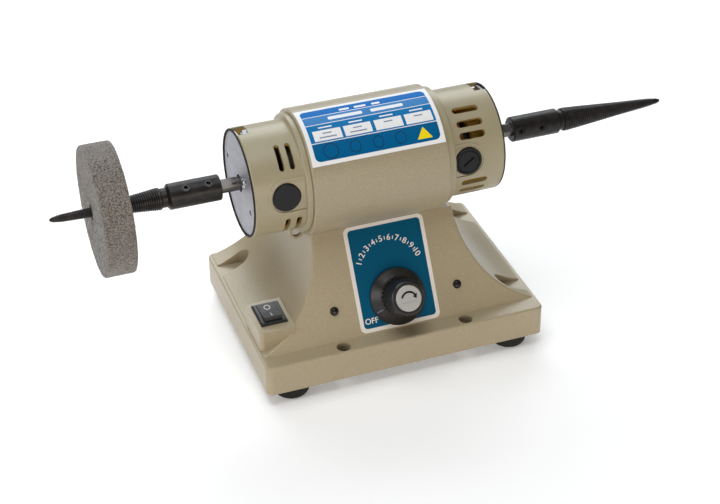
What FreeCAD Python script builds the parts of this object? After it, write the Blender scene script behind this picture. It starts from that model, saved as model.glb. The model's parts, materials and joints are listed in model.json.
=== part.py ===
import FreeCAD, Part
import math
import operator
import os
from types import SimpleNamespace

import Sketcher
from FreeCAD import Placement, Rotation, Vector

# A double-ended bench polishing lathe. A motor barrel lies on a cast pedestal, and a tapered
# adaptor stands on each end of its shaft. X runs along the spindle to the right, -Y is the
# operator's side, +Z is up. The origin is on the floor under the middle of the base.

doc = FreeCAD.newDocument("polishing_lathe")

# ---------------------------------------------------------------- driving sizes, in millimetres
SIZES = [
    ("base_width", 172.0, "slab, left to right"),
    ("base_depth", 125.0, "slab, front to back"),
    ("slab_height", 18.75, "slab alone"),
    ("foot_height", 8.0, "rubber foot under the slab"),
    ("slab_corner", 4.0, "upright corner rounding of the slab"),
    ("slab_edge", 1.2, "top edge rounding of the slab"),
    ("pedestal_top", 82.4, "height of the pedestal's top"),
    ("front_foot", -51.2, "y of the sloping front where it meets the slab"),
    ("front_top", -18.5, "y of the sloping front at the top"),
    ("back_foot", 60.5, "y of the sloping back where it meets the slab"),
    ("pedestal_half", 83.5, "half width of the pedestal at its toes"),
    ("scoop_edge", 1.2, "rounding of the scoops' front and back edges"),
    ("back_top", 40.4, "y of the sloping back at the top"),
    ("scoop_offset", 103.0, "x of the axis of each side scoop"),
    ("scoop_level", 83.12, "z of the axis of each side scoop"),
    ("scoop_radius", 59.2, "radius of each side scoop"),
    ("casting_wall", 4.5, "wall of the hollow casting"),
    ("floor_plate", 1.5, "thickness of the bottom plate"),
    ("low_room", 57.0, "half width of the lower room inside the pedestal"),
    ("low_room_top", 38.0, "ceiling of the lower room"),
    ("high_room", 38.0, "half width of the upper room"),
    ("high_room_top", 68.0, "ceiling of the upper room"),
    ("corner_slot", 12.0, "width of the finger slots at the corners"),
    ("corner_slot_end", 65.0, "x reached by a corner slot"),
    ("pad_top", 40.25, "top of the switch pad"),
    ("pad_outer", 84.4, "x of the pad's outer side, to the left"),
    ("pad_inner", 63.0, "x of the pad's inner side, to the left"),
    ("pad_front", -46.0, "y of the pad's front"),
    ("pad_back", -15.5, "y of the pad's back"),
    ("pad_corner", 3.0, "upright corner rounding of the pad"),
    ("bench_hole_x", 38.0, "x of the bench bolt holes"),
    ("bench_hole_y", -57.0, "y of the bench bolt holes"),
    ("bench_hole", 4.1, "radius of the bench bolt holes"),
    ("foot_x", 68.6, "x of the feet"),
    ("foot_y", 51.0, "y of the feet"),
    ("foot_radius", 10.75, "rubber foot"),
    ("axis_y", 3.8, "y of the spindle"),
    ("axis_z", 111.2, "z of the spindle"),
    ("barrel_left", -44.8, "left end of the barrel"),
    ("barrel_right", 36.9, "right end of the barrel"),
    ("barrel_radius", 37.1, "outside of the barrel"),
    ("barrel_wall", 3.5, "wall of the barrel"),
    ("flange_radius", 34.8, "collar of an end housing"),
    ("left_flange", 3.4, "width of the left collar"),
    ("right_flange", 4.6, "width of the right collar"),
    ("shell_radius", 31.8, "outside of an end housing"),
    ("shell_wall", 2.8, "wall of an end housing"),
    ("left_face", -77.9, "outer face of the left end plate"),
    ("right_face", 72.6, "outer face of the right end plate"),
    ("plate_radius", 30.2, "end plate"),
    ("plate_thickness", 1.5, "end plate"),
    ("plate_hole", 5.2, "hole of an end plate around the shaft"),
    ("bearing_radius", 11.0, "outside of a 22 x 8 x 7 ball bearing"),
    ("bearing_width", 7.0, "width of the ball bearing"),
    ("brush_x", 49.8, "x of the brush axis"),
    ("plug_x", -59.5, "x of the blank plugs"),
    ("cap_radius", 8.1, "head of a brush cap or plug"),
    ("cap_top", 32.5, "distance of a cap's face from the spindle"),
    ("bolt_circle", 28.3, "radius on which the two through bolts lie"),
    ("bolt_radius", 1.5, "through bolt"),
    ("core_left", -25.0, "left end of the laminations"),
    ("core_right", 20.0, "right end of the laminations"),
    ("stator_radius", 33.3, "outside of the stator"),
    ("stator_bore", 19.6, "bore of the stator"),
    ("armature_radius", 19.0, "outside of the armature"),
    ("commutator_radius", 12.0, "brush track"),
    ("shaft_radius", 4.0, "shaft ends"),
    ("shaft_middle", 4.8, "shaft between the bearings"),
    ("shaft_half", 114.0, "half length of the shaft"),
    ("adaptor_radius", 7.5, "sleeve of a tapered adaptor"),
    ("left_adaptor", -89.7, "inner end of the left adaptor"),
    ("right_adaptor", 90.0, "inner end of the right adaptor"),
    ("adaptor_bore_depth", 24.6, "depth of the adaptor's bore"),
    ("wheel_radius", 38.0, "polishing wheel"),
    ("wheel_inner", -146.1, "inner face of the wheel"),
    ("wheel_outer", -163.8, "outer face of the wheel"),
    ("wheel_hole", 4.45, "hole of the wheel"),
    ("knob_x", 0.5, "x of the knob's axis"),
    ("knob_level", 42.7, "z of the knob's axis on the sloping front"),
    ("knob_radius", 16.85, "skirt of the knob"),
    ("knob_height", 21.8, "top of the grip above the front"),
    ("label_width", 49.3, "front label"),
    ("label_length", 62.6, "front label, up the slope"),
    ("label_corner", 3.5, "corner rounding of the front label"),
    ("label_thickness", 0.3, "front label"),
    ("switch_x", -73.5, "x of the switch"),
    ("switch_y", -29.6, "y of the switch"),
    ("bezel_width", 16.0, "switch bezel along X"),
    ("bezel_length", 20.6, "switch bezel along Y"),
    ("gland_x", -48.0, "x of the cable gland in the back wall"),
    ("gland_z", 16.2, "z of the cable gland"),
    ("gland_bore", 3.3, "radius of the cable hole in the gland"),
]


class Size:
    """A number together with the sheet expression that gives it."""

    def __init__(self, value, text):
        self.value = float(value)
        self.text = text

    def __add__(self, other):
        return combine(self, "+", other)

    def __radd__(self, other):
        return combine(other, "+", self)

    def __sub__(self, other):
        return combine(self, "-", other)

    def __rsub__(self, other):
        return combine(other, "-", self)

    def __mul__(self, other):
        return combine(self, "*", other)

    def __rmul__(self, other):
        return combine(other, "*", self)

    def __truediv__(self, other):
        return combine(self, "/", other)

    def __neg__(self):
        return combine(0, "-", self)


OPERATIONS = {"+": operator.add, "-": operator.sub, "*": operator.mul, "/": operator.truediv}


def number(size):
    return size.value if isinstance(size, Size) else float(size)


def words(size):
    return size.text if isinstance(size, Size) else f"({float(size)})"


def combine(left, sign, right):
    value = OPERATIONS[sign](number(left), number(right))
    return Size(value, f"({words(left)} {sign} {words(right)})")


def make_sheet():
    sheet = doc.addObject("Spreadsheet::Sheet", "Sizes")
    sizes = SimpleNamespace()
    for row, (alias, value, meaning) in enumerate(SIZES, 1):
        sheet.set(f"A{row}", alias)
        sheet.set(f"B{row}", str(value))
        sheet.set(f"C{row}", meaning)
        sheet.setAlias(f"B{row}", alias)
        setattr(sizes, alias, Size(value, f"Sizes.{alias}"))
    doc.recompute()
    return sizes


S = make_sheet()

# ---------------------------------------------------------------- helpers
UPRIGHT = Rotation()
ALONG_X = Rotation(Vector(0, 1, 0), 90)       # a piece's own +Z points right
ALONG_MINUS_X = Rotation(Vector(0, 1, 0), -90)  # a piece's own +Z points left
ALONG_Y = Rotation(Vector(1, 0, 0), -90)      # a piece's own +Z points back
PARTS = []


def bind(item, **values):
    """Set properties, and bind each one that is a Size to the sheet."""
    for name, value in values.items():
        setattr(item, name, number(value))
        if isinstance(value, Size):
            item.setExpression(name, value.text)


def place(item, at, turn):
    item.Placement = Placement(Vector(*[number(value) for value in at]), turn)
    for letter, value in zip("xyz", at):
        if isinstance(value, Size):
            item.setExpression(f".Placement.Base.{letter}", value.text)


def keep(item, name):
    """Name a finished sub-part; its label names its file."""
    item.Label = name
    PARTS.append(item)
    return item


def new_body(name, at=(0, 0, 0), turn=UPRIGHT):
    body = doc.addObject("PartDesign::Body", name)
    place(body, at, turn)
    return body


def new_sketch(body, plane, name, lift=0):
    support = [feature for feature in body.Origin.OriginFeatures if feature.Role == plane][0]
    sketch = body.newObject("Sketcher::SketchObject", name)
    sketch.AttachmentSupport = [(support, "")]
    sketch.MapMode = "FlatFace"
    if number(lift):
        sketch.AttachmentOffset = Placement(Vector(0, 0, number(lift)), Rotation())
        if isinstance(lift, Size):
            sketch.setExpression(".AttachmentOffset.Base.z", lift.text)
    return sketch


def pin_point(sketch, element, point, place_2d):
    """Hold one point of a sketch at two coordinates measured from the sketch's origin."""
    for kind, axis, value in zip(("DistanceX", "DistanceY"), (-2, -1), place_2d):
        if number(value) == 0:
            sketch.addConstraint(Sketcher.Constraint("PointOnObject", element, point, axis))
            continue
        index = sketch.addConstraint(
            Sketcher.Constraint(kind, -1, 1, element, point, number(value)))
        if isinstance(value, Size):
            sketch.setExpression(f"Constraints[{index}]", value.text)


def draw_outline(sketch, corners):
    """A closed outline of straight runs."""
    first = sketch.GeometryCount
    count = len(corners)
    flat = [Vector(number(x), number(y), 0) for x, y in corners]
    for step in range(count):
        sketch.addGeometry(Part.LineSegment(flat[step], flat[(step + 1) % count]))
    for step in range(count):
        after = first + (step + 1) % count
        sketch.addConstraint(Sketcher.Constraint("Coincident", first + step, 2, after, 1))
    for step, corner in enumerate(corners):
        pin_point(sketch, first + step, 1, corner)


def draw_circle(sketch, centre, radius):
    middle = Vector(number(centre[0]), number(centre[1]), 0)
    element = sketch.addGeometry(Part.Circle(middle, Vector(0, 0, 1), number(radius)))
    pin_point(sketch, element, 3, centre)
    index = sketch.addConstraint(Sketcher.Constraint("Radius", element, number(radius)))
    if isinstance(radius, Size):
        sketch.setExpression(f"Constraints[{index}]", radius.text)


def rectangle(x_low, y_low, x_high, y_high):
    return [(x_low, y_low), (x_high, y_low), (x_high, y_high), (x_low, y_high)]


def pad(body, sketch, length, both_ways=False):
    feature = body.newObject("PartDesign::Pad", sketch.Name + "_pad")
    feature.Profile = sketch
    feature.SideType = "Symmetric" if both_ways else "One side"
    bind(feature, Length=length)
    doc.recompute()
    return feature


def pocket(body, sketch, length=None, up=False, both_ways=False):
    """Cut a sketch away: down or up by a length, half of it each way, or right through."""
    feature = body.newObject("PartDesign::Pocket", sketch.Name + "_pocket")
    feature.Profile = sketch
    feature.Reversed = up
    if length is None:
        feature.SideType = "Symmetric"
        feature.Type = "ThroughAll"
    else:
        feature.SideType = "Symmetric" if both_ways else "One side"
        bind(feature, Length=length)
    before = body.Shape.Volume
    doc.recompute()
    if not feature.Shape.Volume < before - 0.001:
        raise RuntimeError(f"{feature.Name} cuts nothing")
    return feature


def round_edges(body, name, radius, wanted, kind="Fillet"):
    """Round or chamfer the edges of the body's tip that a test on their middle picks."""
    tip = body.Tip
    picked = []
    for index, edge in enumerate(tip.Shape.Edges, 1):
        middle = edge.valueAt((edge.FirstParameter + edge.LastParameter) / 2)
        if wanted(middle, edge):
            picked.append(f"Edge{index}")
    feature = body.newObject("PartDesign::" + kind, name)
    feature.Base = (tip, picked)
    bind(feature, **{"Radius" if kind == "Fillet" else "Size": radius})
    doc.recompute()
    return feature


def repeat_round(body, feature, count):
    """Repeat one feature evenly about the body's own Z axis."""
    axis = [item for item in body.Origin.OriginFeatures if item.Role == "Z_Axis"][0]
    pattern = body.newObject("PartDesign::PolarPattern", feature.Name + "_round")
    pattern.Originals = [feature]
    pattern.Axis = (axis, [""])
    pattern.Angle = 360
    pattern.Occurrences = count
    body.Tip = pattern
    doc.recompute()
    return pattern


def turned(name, outline, at=(0, 0, 0), turn=UPRIGHT):
    """A piece turned about its own Z axis from (radius, height) corners."""
    body = new_body(name, at, turn)
    sketch = new_sketch(body, "XZ_Plane", name + "_profile")
    draw_outline(sketch, outline)
    feature = body.newObject("PartDesign::Revolution", name + "_turned")
    feature.Profile = sketch
    feature.ReferenceAxis = (sketch, ["V_Axis"])
    feature.Angle = 360
    doc.recompute()
    return body


def tube_outline(inner, outer, low, high):
    return rectangle(inner, low, outer, high)


def cylinder(name, radius, height, at, turn=UPRIGHT, sweep=360):
    item = doc.addObject("Part::Cylinder", name)
    bind(item, Radius=radius, Height=height, Angle=sweep)
    place(item, at, turn)
    return item


def box(name, length, width, height, at, turn=UPRIGHT):
    """A block centred on its own X and Y, standing on its own Z = 0."""
    body = new_body(name, at, turn)
    sketch = new_sketch(body, "XY_Plane", name + "_base")
    draw_outline(sketch, rectangle(-length / 2, -width / 2, length / 2, width / 2))
    pad(body, sketch, height)
    return body


def join(name, pieces):
    item = doc.addObject("Part::MultiFuse", name)
    item.Shapes = pieces
    return item


def cut(name, base, tools):
    item = doc.addObject("Part::Cut", name)
    item.Base = base
    item.Tool = join(name + "_tools", tools) if len(tools) > 1 else tools[0]
    return item


def group(name, pieces):
    """Several separate solids in one node."""
    item = doc.addObject("Part::Compound", name)
    item.Links = pieces
    return keep(item, name)


def on_axis(x):
    return (x, S.axis_y, S.axis_z)


def radial(angle):
    """Point a piece's own +Z away from the spindle; 0 faces front, 90 faces up."""
    return Rotation(Vector(1, 0, 0), 90 - angle)


def around(x, radius, angle):
    """A point at a distance from the spindle; 0 faces front, 90 faces up."""
    turn = math.radians(angle)
    return (x, S.axis_y - radius * math.cos(turn), S.axis_z + radius * math.sin(turn))


def sector(name, inner, outer, start, end, low, high):
    """Part of a tube about the spindle, between two angles and two values of x."""
    turn = ALONG_X * Rotation(Vector(0, 0, 1), -90 - end)
    block = cylinder(name + "_outer", outer, high - low, on_axis(low), turn, end - start)
    core = cylinder(name + "_inner", inner, high - low, on_axis(low), turn, end - start)
    return cut(name, block, [core])


slab_top = S.foot_height + S.slab_height
slope = (S.front_top - S.front_foot) / (S.pedestal_top - slab_top)
FRONT_TURN = Rotation(Vector(1, 0, 0), 90 - math.degrees(math.atan(number(slope))))


def on_front(x, z, out=0, uphill=0):
    """A point on the pedestal's sloping front, or off it: outwards or up the slope."""
    shift = FRONT_TURN.multVec(Vector(0, uphill, out))
    return (x, S.front_foot + (z - slab_top) * slope + shift.y, z + shift.z)


# ---------------------------------------------------------------- base
def pedestal_outline(inset, low, high):
    """The pedestal seen from its side, drawn smaller by a wall and cut at two levels."""
    lean = (S.back_foot - S.back_top) / (S.pedestal_top - slab_top)

    def front(z):
        return S.front_foot + inset + (z - slab_top) * slope

    def back(z):
        return S.back_foot - inset - (z - slab_top) * lean

    return [(front(low), low), (back(low), low), (back(high), high), (front(high), high)]


def casting_blank():
    body = new_body("casting_blank")
    half_width = S.base_width / 2
    half_depth = S.base_depth / 2

    sketch = new_sketch(body, "YZ_Plane", "pedestal_side")
    draw_outline(sketch, pedestal_outline(0, slab_top, S.pedestal_top))
    pad(body, sketch, 2 * S.pedestal_half, both_ways=True)

    sketch = new_sketch(body, "XZ_Plane", "side_scoops")
    for side in (-1, 1):
        draw_circle(sketch, (side * S.scoop_offset, S.scoop_level), S.scoop_radius)
    pocket(body, sketch)
    round_edges(body, "scoop_edges", S.scoop_edge, lambda middle, edge: (
        edge.Curve.TypeId == "Part::GeomEllipse"))

    sketch = new_sketch(body, "XY_Plane", "slab", lift=S.foot_height)
    draw_outline(sketch, rectangle(-half_width, -half_depth, half_width, half_depth))
    pad(body, sketch, S.slab_height)
    wide, deep, top = number(half_width), number(half_depth), number(slab_top)
    round_edges(body, "slab_corners", S.slab_corner, lambda middle, edge: (
        abs(abs(middle.x) - wide) < 0.01 and abs(abs(middle.y) - deep) < 0.01))
    round_edges(body, "slab_rim", S.slab_edge, lambda middle, edge: (
        abs(middle.z - top) < 0.01
        and (abs(middle.x) > wide - 2 or abs(middle.y) > deep - 0.01)))

    sketch = new_sketch(body, "XY_Plane", "switch_pad", lift=slab_top - 1)
    draw_outline(sketch, rectangle(-S.pad_outer, S.pad_front, -S.pad_inner, S.pad_back))
    pad(body, sketch, S.pad_top - slab_top + 1)
    round_edges(body, "pad_corners", S.pad_corner, lambda middle, edge: (
        abs(abs(edge.tangentAt(edge.FirstParameter).z) - 1) < 1e-6
        and middle.x < -number(S.pad_outer) + 0.5
        and min(abs(middle.y - number(S.pad_front)), abs(middle.y - number(S.pad_back))) < 0.5))
    return body


def hollow_casting(body):
    half_width = S.base_width / 2 - S.casting_wall
    half_depth = S.base_depth / 2 - S.casting_wall
    plate_top = S.foot_height + S.floor_plate
    ceiling = slab_top - 4

    sketch = new_sketch(body, "YZ_Plane", "upper_room")
    inset = S.casting_wall + 1
    draw_outline(sketch, pedestal_outline(inset, ceiling - 2, S.high_room_top))
    pocket(body, sketch, 2 * S.high_room, both_ways=True)

    sketch = new_sketch(body, "YZ_Plane", "lower_room")
    draw_outline(sketch, pedestal_outline(inset, ceiling - 2, S.low_room_top))
    pocket(body, sketch, 2 * S.low_room, both_ways=True)

    sketch = new_sketch(body, "XY_Plane", "slab_room", lift=S.foot_height)
    draw_outline(sketch, rectangle(-half_width, -half_depth, half_width, half_depth))
    pocket(body, sketch, ceiling - S.foot_height, up=True)

    sketch = new_sketch(body, "XY_Plane", "foot_bosses", lift=plate_top)
    for side in (-1, 1):
        for end in (-1, 1):
            draw_circle(sketch, (side * S.foot_x, end * S.foot_y), 6)
    pad(body, sketch, ceiling - plate_top + 0.5)

    sketch = new_sketch(body, "XY_Plane", "bench_bolt_bosses", lift=plate_top)
    boss = 8
    for side in (-1, 1):
        middle = side * S.bench_hole_x
        draw_outline(sketch, rectangle(middle - boss, -half_depth - 1, middle + boss,
                                       S.bench_hole_y + boss))
    pad(body, sketch, ceiling - plate_top + 0.5)
    return body


def corner_slot(name, side, y):
    """A finger slot: straight sides and a round inner end, open outwards and upwards."""
    radius = S.corner_slot / 2
    end_x = side * (S.corner_slot_end + radius)
    height = S.pedestal_top - slab_top
    run = 30
    bar = box(name + "_bar", run, S.corner_slot, height, (end_x + side * run / 2, y, slab_top))
    end = cylinder(name + "_end", radius, height, (end_x, y, slab_top))
    return join(name, [bar, end])


def base_casting():
    blank = hollow_casting(casting_blank())
    tools = [
        corner_slot("slot_back_left", -1, 41.3),
        corner_slot("slot_back_right", 1, 41.9),
        corner_slot("slot_front_right", 1, -37.6),
        cylinder("saddle", S.barrel_radius + 0.05, S.base_width, on_axis(-S.base_width / 2),
                 ALONG_X),
        box("switch_window", 13.8, 18.9, 20, (S.switch_x, S.switch_y, slab_top - 5)),
        cylinder("potentiometer_hole", 3.8, 16, on_front(S.knob_x, S.knob_level, -8), FRONT_TURN),
        cylinder("gland_hole", 4.9, 12, (S.gland_x, S.base_depth / 2 - 8, S.gland_z), ALONG_Y),
    ]
    for side in (-1, 1):
        tools.append(cylinder(f"bench_hole_{side}", S.bench_hole, S.slab_height + 2,
                              (side * S.bench_hole_x, S.bench_hole_y, S.foot_height - 1)))
        tools.append(cylinder(f"motor_bolt_hole_{side}", 2.6, 20,
                              (side * 20, S.axis_y, S.high_room_top - 1)))
        tools.append(cylinder(f"panel_screw_hole_{side}", 1.5, 7,
                              on_front(side * 38.3, 42.0, -6.5), FRONT_TURN))
        for end in (-1, 1):
            tools.append(cylinder(f"foot_pilot_{side}_{end}", 1.9, 12,
                                  (side * S.foot_x, end * S.foot_y, S.foot_height)))
    keep(cut("base_casting", blank, tools), "base_casting")


def foot_positions():
    return [(side * S.foot_x, end * S.foot_y) for end in (-1, 1) for side in (-1, 1)]


def bottom_plate():
    body = new_body("bottom_plate", (0, 0, S.foot_height))
    half_width = S.base_width / 2 - S.casting_wall - 0.3
    half_depth = S.base_depth / 2 - S.casting_wall - 0.3
    sketch = new_sketch(body, "XY_Plane", "plate_outline")
    draw_outline(sketch, rectangle(-half_width, -half_depth, half_width, half_depth))
    pad(body, sketch, S.floor_plate)
    sketch = new_sketch(body, "XY_Plane", "plate_screw_holes")
    for x, y in foot_positions():
        draw_circle(sketch, (x, y), 2.1)
    pocket(body, sketch)
    sketch = new_sketch(body, "XY_Plane", "plate_bench_notches")
    for side in (-1, 1):
        middle = side * S.bench_hole_x
        draw_outline(sketch, rectangle(middle - 5, -half_depth - 1, middle + 5,
                                       S.bench_hole_y + 5))
    pocket(body, sketch)
    keep(body, "bottom_plate")


def feet():
    radius = S.foot_radius
    top = S.foot_height
    feet_found = []
    screws = []
    for index, (x, y) in enumerate(foot_positions()):
        outline = [(4.0, 0), (radius - 2.6, 0), (radius - 1.1, 0.6), (radius - 0.3, 1.9),
                   (radius, 3.6), (radius, top), (2.1, top), (2.1, 4.2), (4.0, 4.2)]
        feet_found.append(turned(f"foot_{index}", outline, (x, y, 0)))
        screw = [(0, 1.8), (2.6, 1.8), (3.6, 2.6), (3.6, 4.2), (1.85, 4.2), (1.85, 18.0),
                 (0, 19.5)]
        screws.append(turned(f"foot_screw_{index}", screw, (x, y, 0)))
    group("rubber_feet", feet_found)
    group("foot_screws", screws)


def cable_gland():
    wall_back = S.base_depth / 2
    at = (S.gland_x, wall_back, S.gland_z)
    collar = [(S.gland_bore, -8), (4.85, -8), (4.85, 0), (6.6, 0), (6.6, 1.4), (5.6, 2.6),
              (S.gland_bore, 2.6)]
    keep(turned("cable_gland", collar, at, ALONG_Y), "cable_gland")
    nut = tube_outline(4.9, 6.0, -S.casting_wall - 2.6, -S.casting_wall - 0.05)
    keep(turned("gland_nut", nut, at, ALONG_Y), "gland_nut")


# ---------------------------------------------------------------- front controls
def front_label():
    body = new_body("front_label", on_front(0, slab_top + 0.8), FRONT_TURN)
    half = S.label_width / 2
    sketch = new_sketch(body, "XY_Plane", "label_outline")
    draw_outline(sketch, rectangle(-half, 0, half, S.label_length))
    pad(body, sketch, S.label_thickness)
    round_edges(body, "label_corners", S.label_corner, lambda middle, edge: (
        abs(edge.tangentAt(edge.FirstParameter).z) > 0.9))
    hole = cylinder("label_hole", 6.6, 6, on_front(S.knob_x, S.knob_level), FRONT_TURN)
    keep(cut("front_panel_label", body, [hole]), "front_panel_label")


def panel_screws():
    dome = [(0, -6.2), (1.4, -6.2), (1.4, 0), (2.65, 0), (2.5, 0.8), (1.9, 1.5), (1.0, 1.9),
            (0, 2.0)]
    group("panel_screws", [turned(f"panel_screw_{side}", dome, on_front(side * 38.3, 42.0),
                                  FRONT_TURN) for side in (-1, 1)])


def potentiometer():
    at = on_front(S.knob_x, S.knob_level)
    body_outline = [(0, -14.5), (8.4, -14.5), (8.4, -6.2), (3.6, -6.2), (3.6, 3.0), (3.06, 3.0),
                    (3.06, -5.6), (0, -5.6)]
    keep(turned("speed_potentiometer", body_outline, at, FRONT_TURN), "speed_potentiometer")
    nut = new_body("pot_nut", at, FRONT_TURN)
    sketch = new_sketch(nut, "XY_Plane", "pot_nut_hexagon", lift=0.05)
    draw_outline(sketch, [(5.8 * math.cos(math.radians(60 * k)),
                           5.8 * math.sin(math.radians(60 * k))) for k in range(6)])
    pad(nut, sketch, 2.0)
    sketch = new_sketch(nut, "XY_Plane", "pot_nut_hole")
    draw_circle(sketch, (0, 0), 3.65)
    pocket(nut, sketch)
    keep(nut, "potentiometer_nut")
    shaft = [(0, -5.5), (3.0, -5.5), (3.0, 14.5), (2.5, 15.0), (0, 15.0)]
    keep(turned("potentiometer_shaft", shaft, at, FRONT_TURN), "potentiometer_shaft")


def speed_knob():
    at = on_front(S.knob_x, S.knob_level)
    skirt = S.knob_radius
    top = S.knob_height
    outline = [(8.0, 0.8), (skirt - 0.3, 0.8), (skirt, 1.2), (skirt, 2.4), (skirt - 0.5, 3.0),
               (12.4, 6.6), (11.2, 8.0), (9.9, top - 0.6), (9.3, top), (7.7, top), (7.7, top - 1.2),
               (0, top - 1.2), (0, 15.4), (3.03, 15.4), (3.03, 5.5), (8.0, 5.5)]
    body = turned("knob_blank", outline, at, FRONT_TURN)
    sketch = new_sketch(body, "XY_Plane", "grip_flute", lift=7.2)
    draw_circle(sketch, (11.6, 0), 0.95)
    flute = pocket(body, sketch, top, up=True)
    repeat_round(body, flute, 30)
    downhill = FRONT_TURN * Rotation(Vector(1, 0, 0), 90)
    level = 10.0
    hole = cylinder("grub_hole", 1.55, 14, on_front(S.knob_x, S.knob_level, level), downhill)
    keep(cut("speed_knob", body, [hole]), "speed_knob")
    keep(cylinder("knob_grub_screw", 1.45, 4.2,
                  on_front(S.knob_x, S.knob_level, level, -3.1), downhill), "knob_grub_screw")
    cap = [(0, top - 1.15), (7.6, top - 1.15), (7.6, top + 0.5), (7.2, top + 0.9),
           (0, top + 0.9)]
    keep(turned("knob_cap", cap, at, FRONT_TURN), "knob_cap")


def rocker_switch():
    at = (S.switch_x, S.switch_y, S.pad_top)
    width, length = S.bezel_width, S.bezel_length
    frame = new_body("switch_blank", at)
    sketch = new_sketch(frame, "XY_Plane", "bezel")
    draw_outline(sketch, rectangle(-width / 2, -length / 2, width / 2, length / 2))
    pad(frame, sketch, 1.6)
    round_edges(frame, "bezel_edges", 0.8, lambda middle, edge: abs(middle.z - 1.6) < 0.01,
                kind="Chamfer")
    sketch = new_sketch(frame, "XY_Plane", "switch_box", lift=-13.5)
    draw_outline(sketch, rectangle(-6.7, -9.2, 6.7, 9.2))
    pad(frame, sketch, 13.8)
    sketch = new_sketch(frame, "XY_Plane", "rocker_room", lift=-8.0)
    draw_outline(sketch, rectangle(-5.5, -8.6, 5.5, 8.6))
    pocket(frame, sketch, 12, up=True)
    pivot = (S.switch_x - 6.7, S.switch_y, S.pad_top - 2.0)
    hole = cylinder("pivot_hole", 1.1, 13.4, pivot, ALONG_X)
    keep(cut("switch_frame_cut", frame, [hole]), "switch_frame")

    rocker = new_body("rocker_blank", (S.switch_x, S.switch_y, S.pad_top - 2.0),
                      Rotation(Vector(1, 0, 0), -7))
    sketch = new_sketch(rocker, "YZ_Plane", "rocker_side")
    draw_outline(sketch, [(-7.9, 4.9), (-8.2, 0.5), (-6.0, -3.2), (6.0, -3.2), (8.2, 0.5),
                          (7.9, 4.9), (0, 3.9)])
    pad(rocker, sketch, 10.4, both_ways=True)
    pin = cylinder("rocker_pin", 1.05, 12.6, (S.switch_x - 6.3, S.switch_y, S.pad_top - 2.0),
                   ALONG_X)
    keep(join("rocker", [rocker, pin]), "rocker")
    tabs = [box(f"tab_{step}", 4.8, 0.8, 6.5,
                (S.switch_x, S.switch_y + 6.5 * step, S.pad_top - 20.0)) for step in (-1, 0, 1)]
    group("switch_terminals", tabs)


def control_board():
    board_level = 27.0
    corners = [(x, y) for x in (-26, 26) for y in (-4, 32)]
    board = new_body("speed_control_board", (0, 0, board_level))
    sketch = new_sketch(board, "XY_Plane", "board_outline")
    draw_outline(sketch, rectangle(-30, -8, 30, 36))
    pad(board, sketch, 1.6)
    sketch = new_sketch(board, "XY_Plane", "board_holes")
    for x, y in corners:
        draw_circle(sketch, (x, y), 1.6)
    pocket(board, sketch)
    keep(board, "speed_control_board")
    low = number(S.foot_height + S.floor_plate)
    posts = []
    screws = []
    for index, (x, y) in enumerate(corners):
        post = [(0, 0), (2.6, 0), (2.6, board_level - low), (1.3, board_level - low),
                (1.3, 12.0), (0, 12.0)]
        posts.append(turned(f"post_{index}", post, (x, y, low)))
        screw = [(0, -4), (1.25, -4), (1.25, 1.6), (2.7, 1.6), (2.7, 2.6), (2.0, 3.4), (0, 3.6)]
        screws.append(turned(f"board_screw_{index}", screw, (x, y, board_level)))
    group("board_posts", posts)
    group("board_screws", screws)
    top = board_level + 1.6
    keep(turned("capacitor", [(0, 0), (6.0, 0), (6.3, 0.6), (6.3, 17.4), (5.8, 18), (0, 18)],
                (-14, 10, top)), "capacitor")
    fins = new_body("heat_sink", (14, 12, top))
    sketch = new_sketch(fins, "XY_Plane", "heat_sink_outline")
    draw_outline(sketch, [(-9, -7), (9, -7), (9, -4.5), (3, -4.5), (3, 6), (0.8, 6),
                          (0.8, -4.5), (-3, -4.5), (-3, 6), (-5.2, 6), (-5.2, -4.5), (-9, -4.5)])
    pad(fins, sketch, 20)
    keep(fins, "heat_sink")
    keep(box("triac", 10, 4.5, 15, (14, 2.6, top)), "triac")


# ---------------------------------------------------------------- motor, held still
barrel_length = S.barrel_right - S.barrel_left
BOLT_ANGLES = (100, 280)
BRUSH_ANGLES = (8, 188)


def motor_barrel():
    inside = S.barrel_radius - S.barrel_wall
    outline = [(inside, 0), (S.barrel_radius - 0.6, 0), (S.barrel_radius, 0.6),
               (S.barrel_radius, barrel_length - 0.6), (S.barrel_radius - 0.6, barrel_length),
               (inside, barrel_length)]
    tube = turned("barrel_tube", outline, on_axis(S.barrel_left), ALONG_X)
    holes = [cylinder(f"barrel_bolt_hole_{side}", 2.6, 8,
                      (side * 20, S.axis_y, S.axis_z - S.barrel_radius - 1)) for side in (-1, 1)]
    keep(cut("motor_barrel", tube, holes), "motor_barrel")
    bolts = []
    for side in (-1, 1):
        bolt = [(0, 62.9), (4.2, 62.9), (4.2, 67.9), (2.5, 67.9), (2.5, 77.4), (0, 77.4)]
        bolts.append(turned(f"motor_bolt_{side}", bolt, (side * 20, S.axis_y, 0)))
    group("motor_mount_bolts", bolts)
    outside = S.barrel_radius + 0.02
    plate = sector("nameplate", outside, outside + 0.25, 33, 94, -43.9, 35.7)
    keep(plate, "nameplate")


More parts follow.
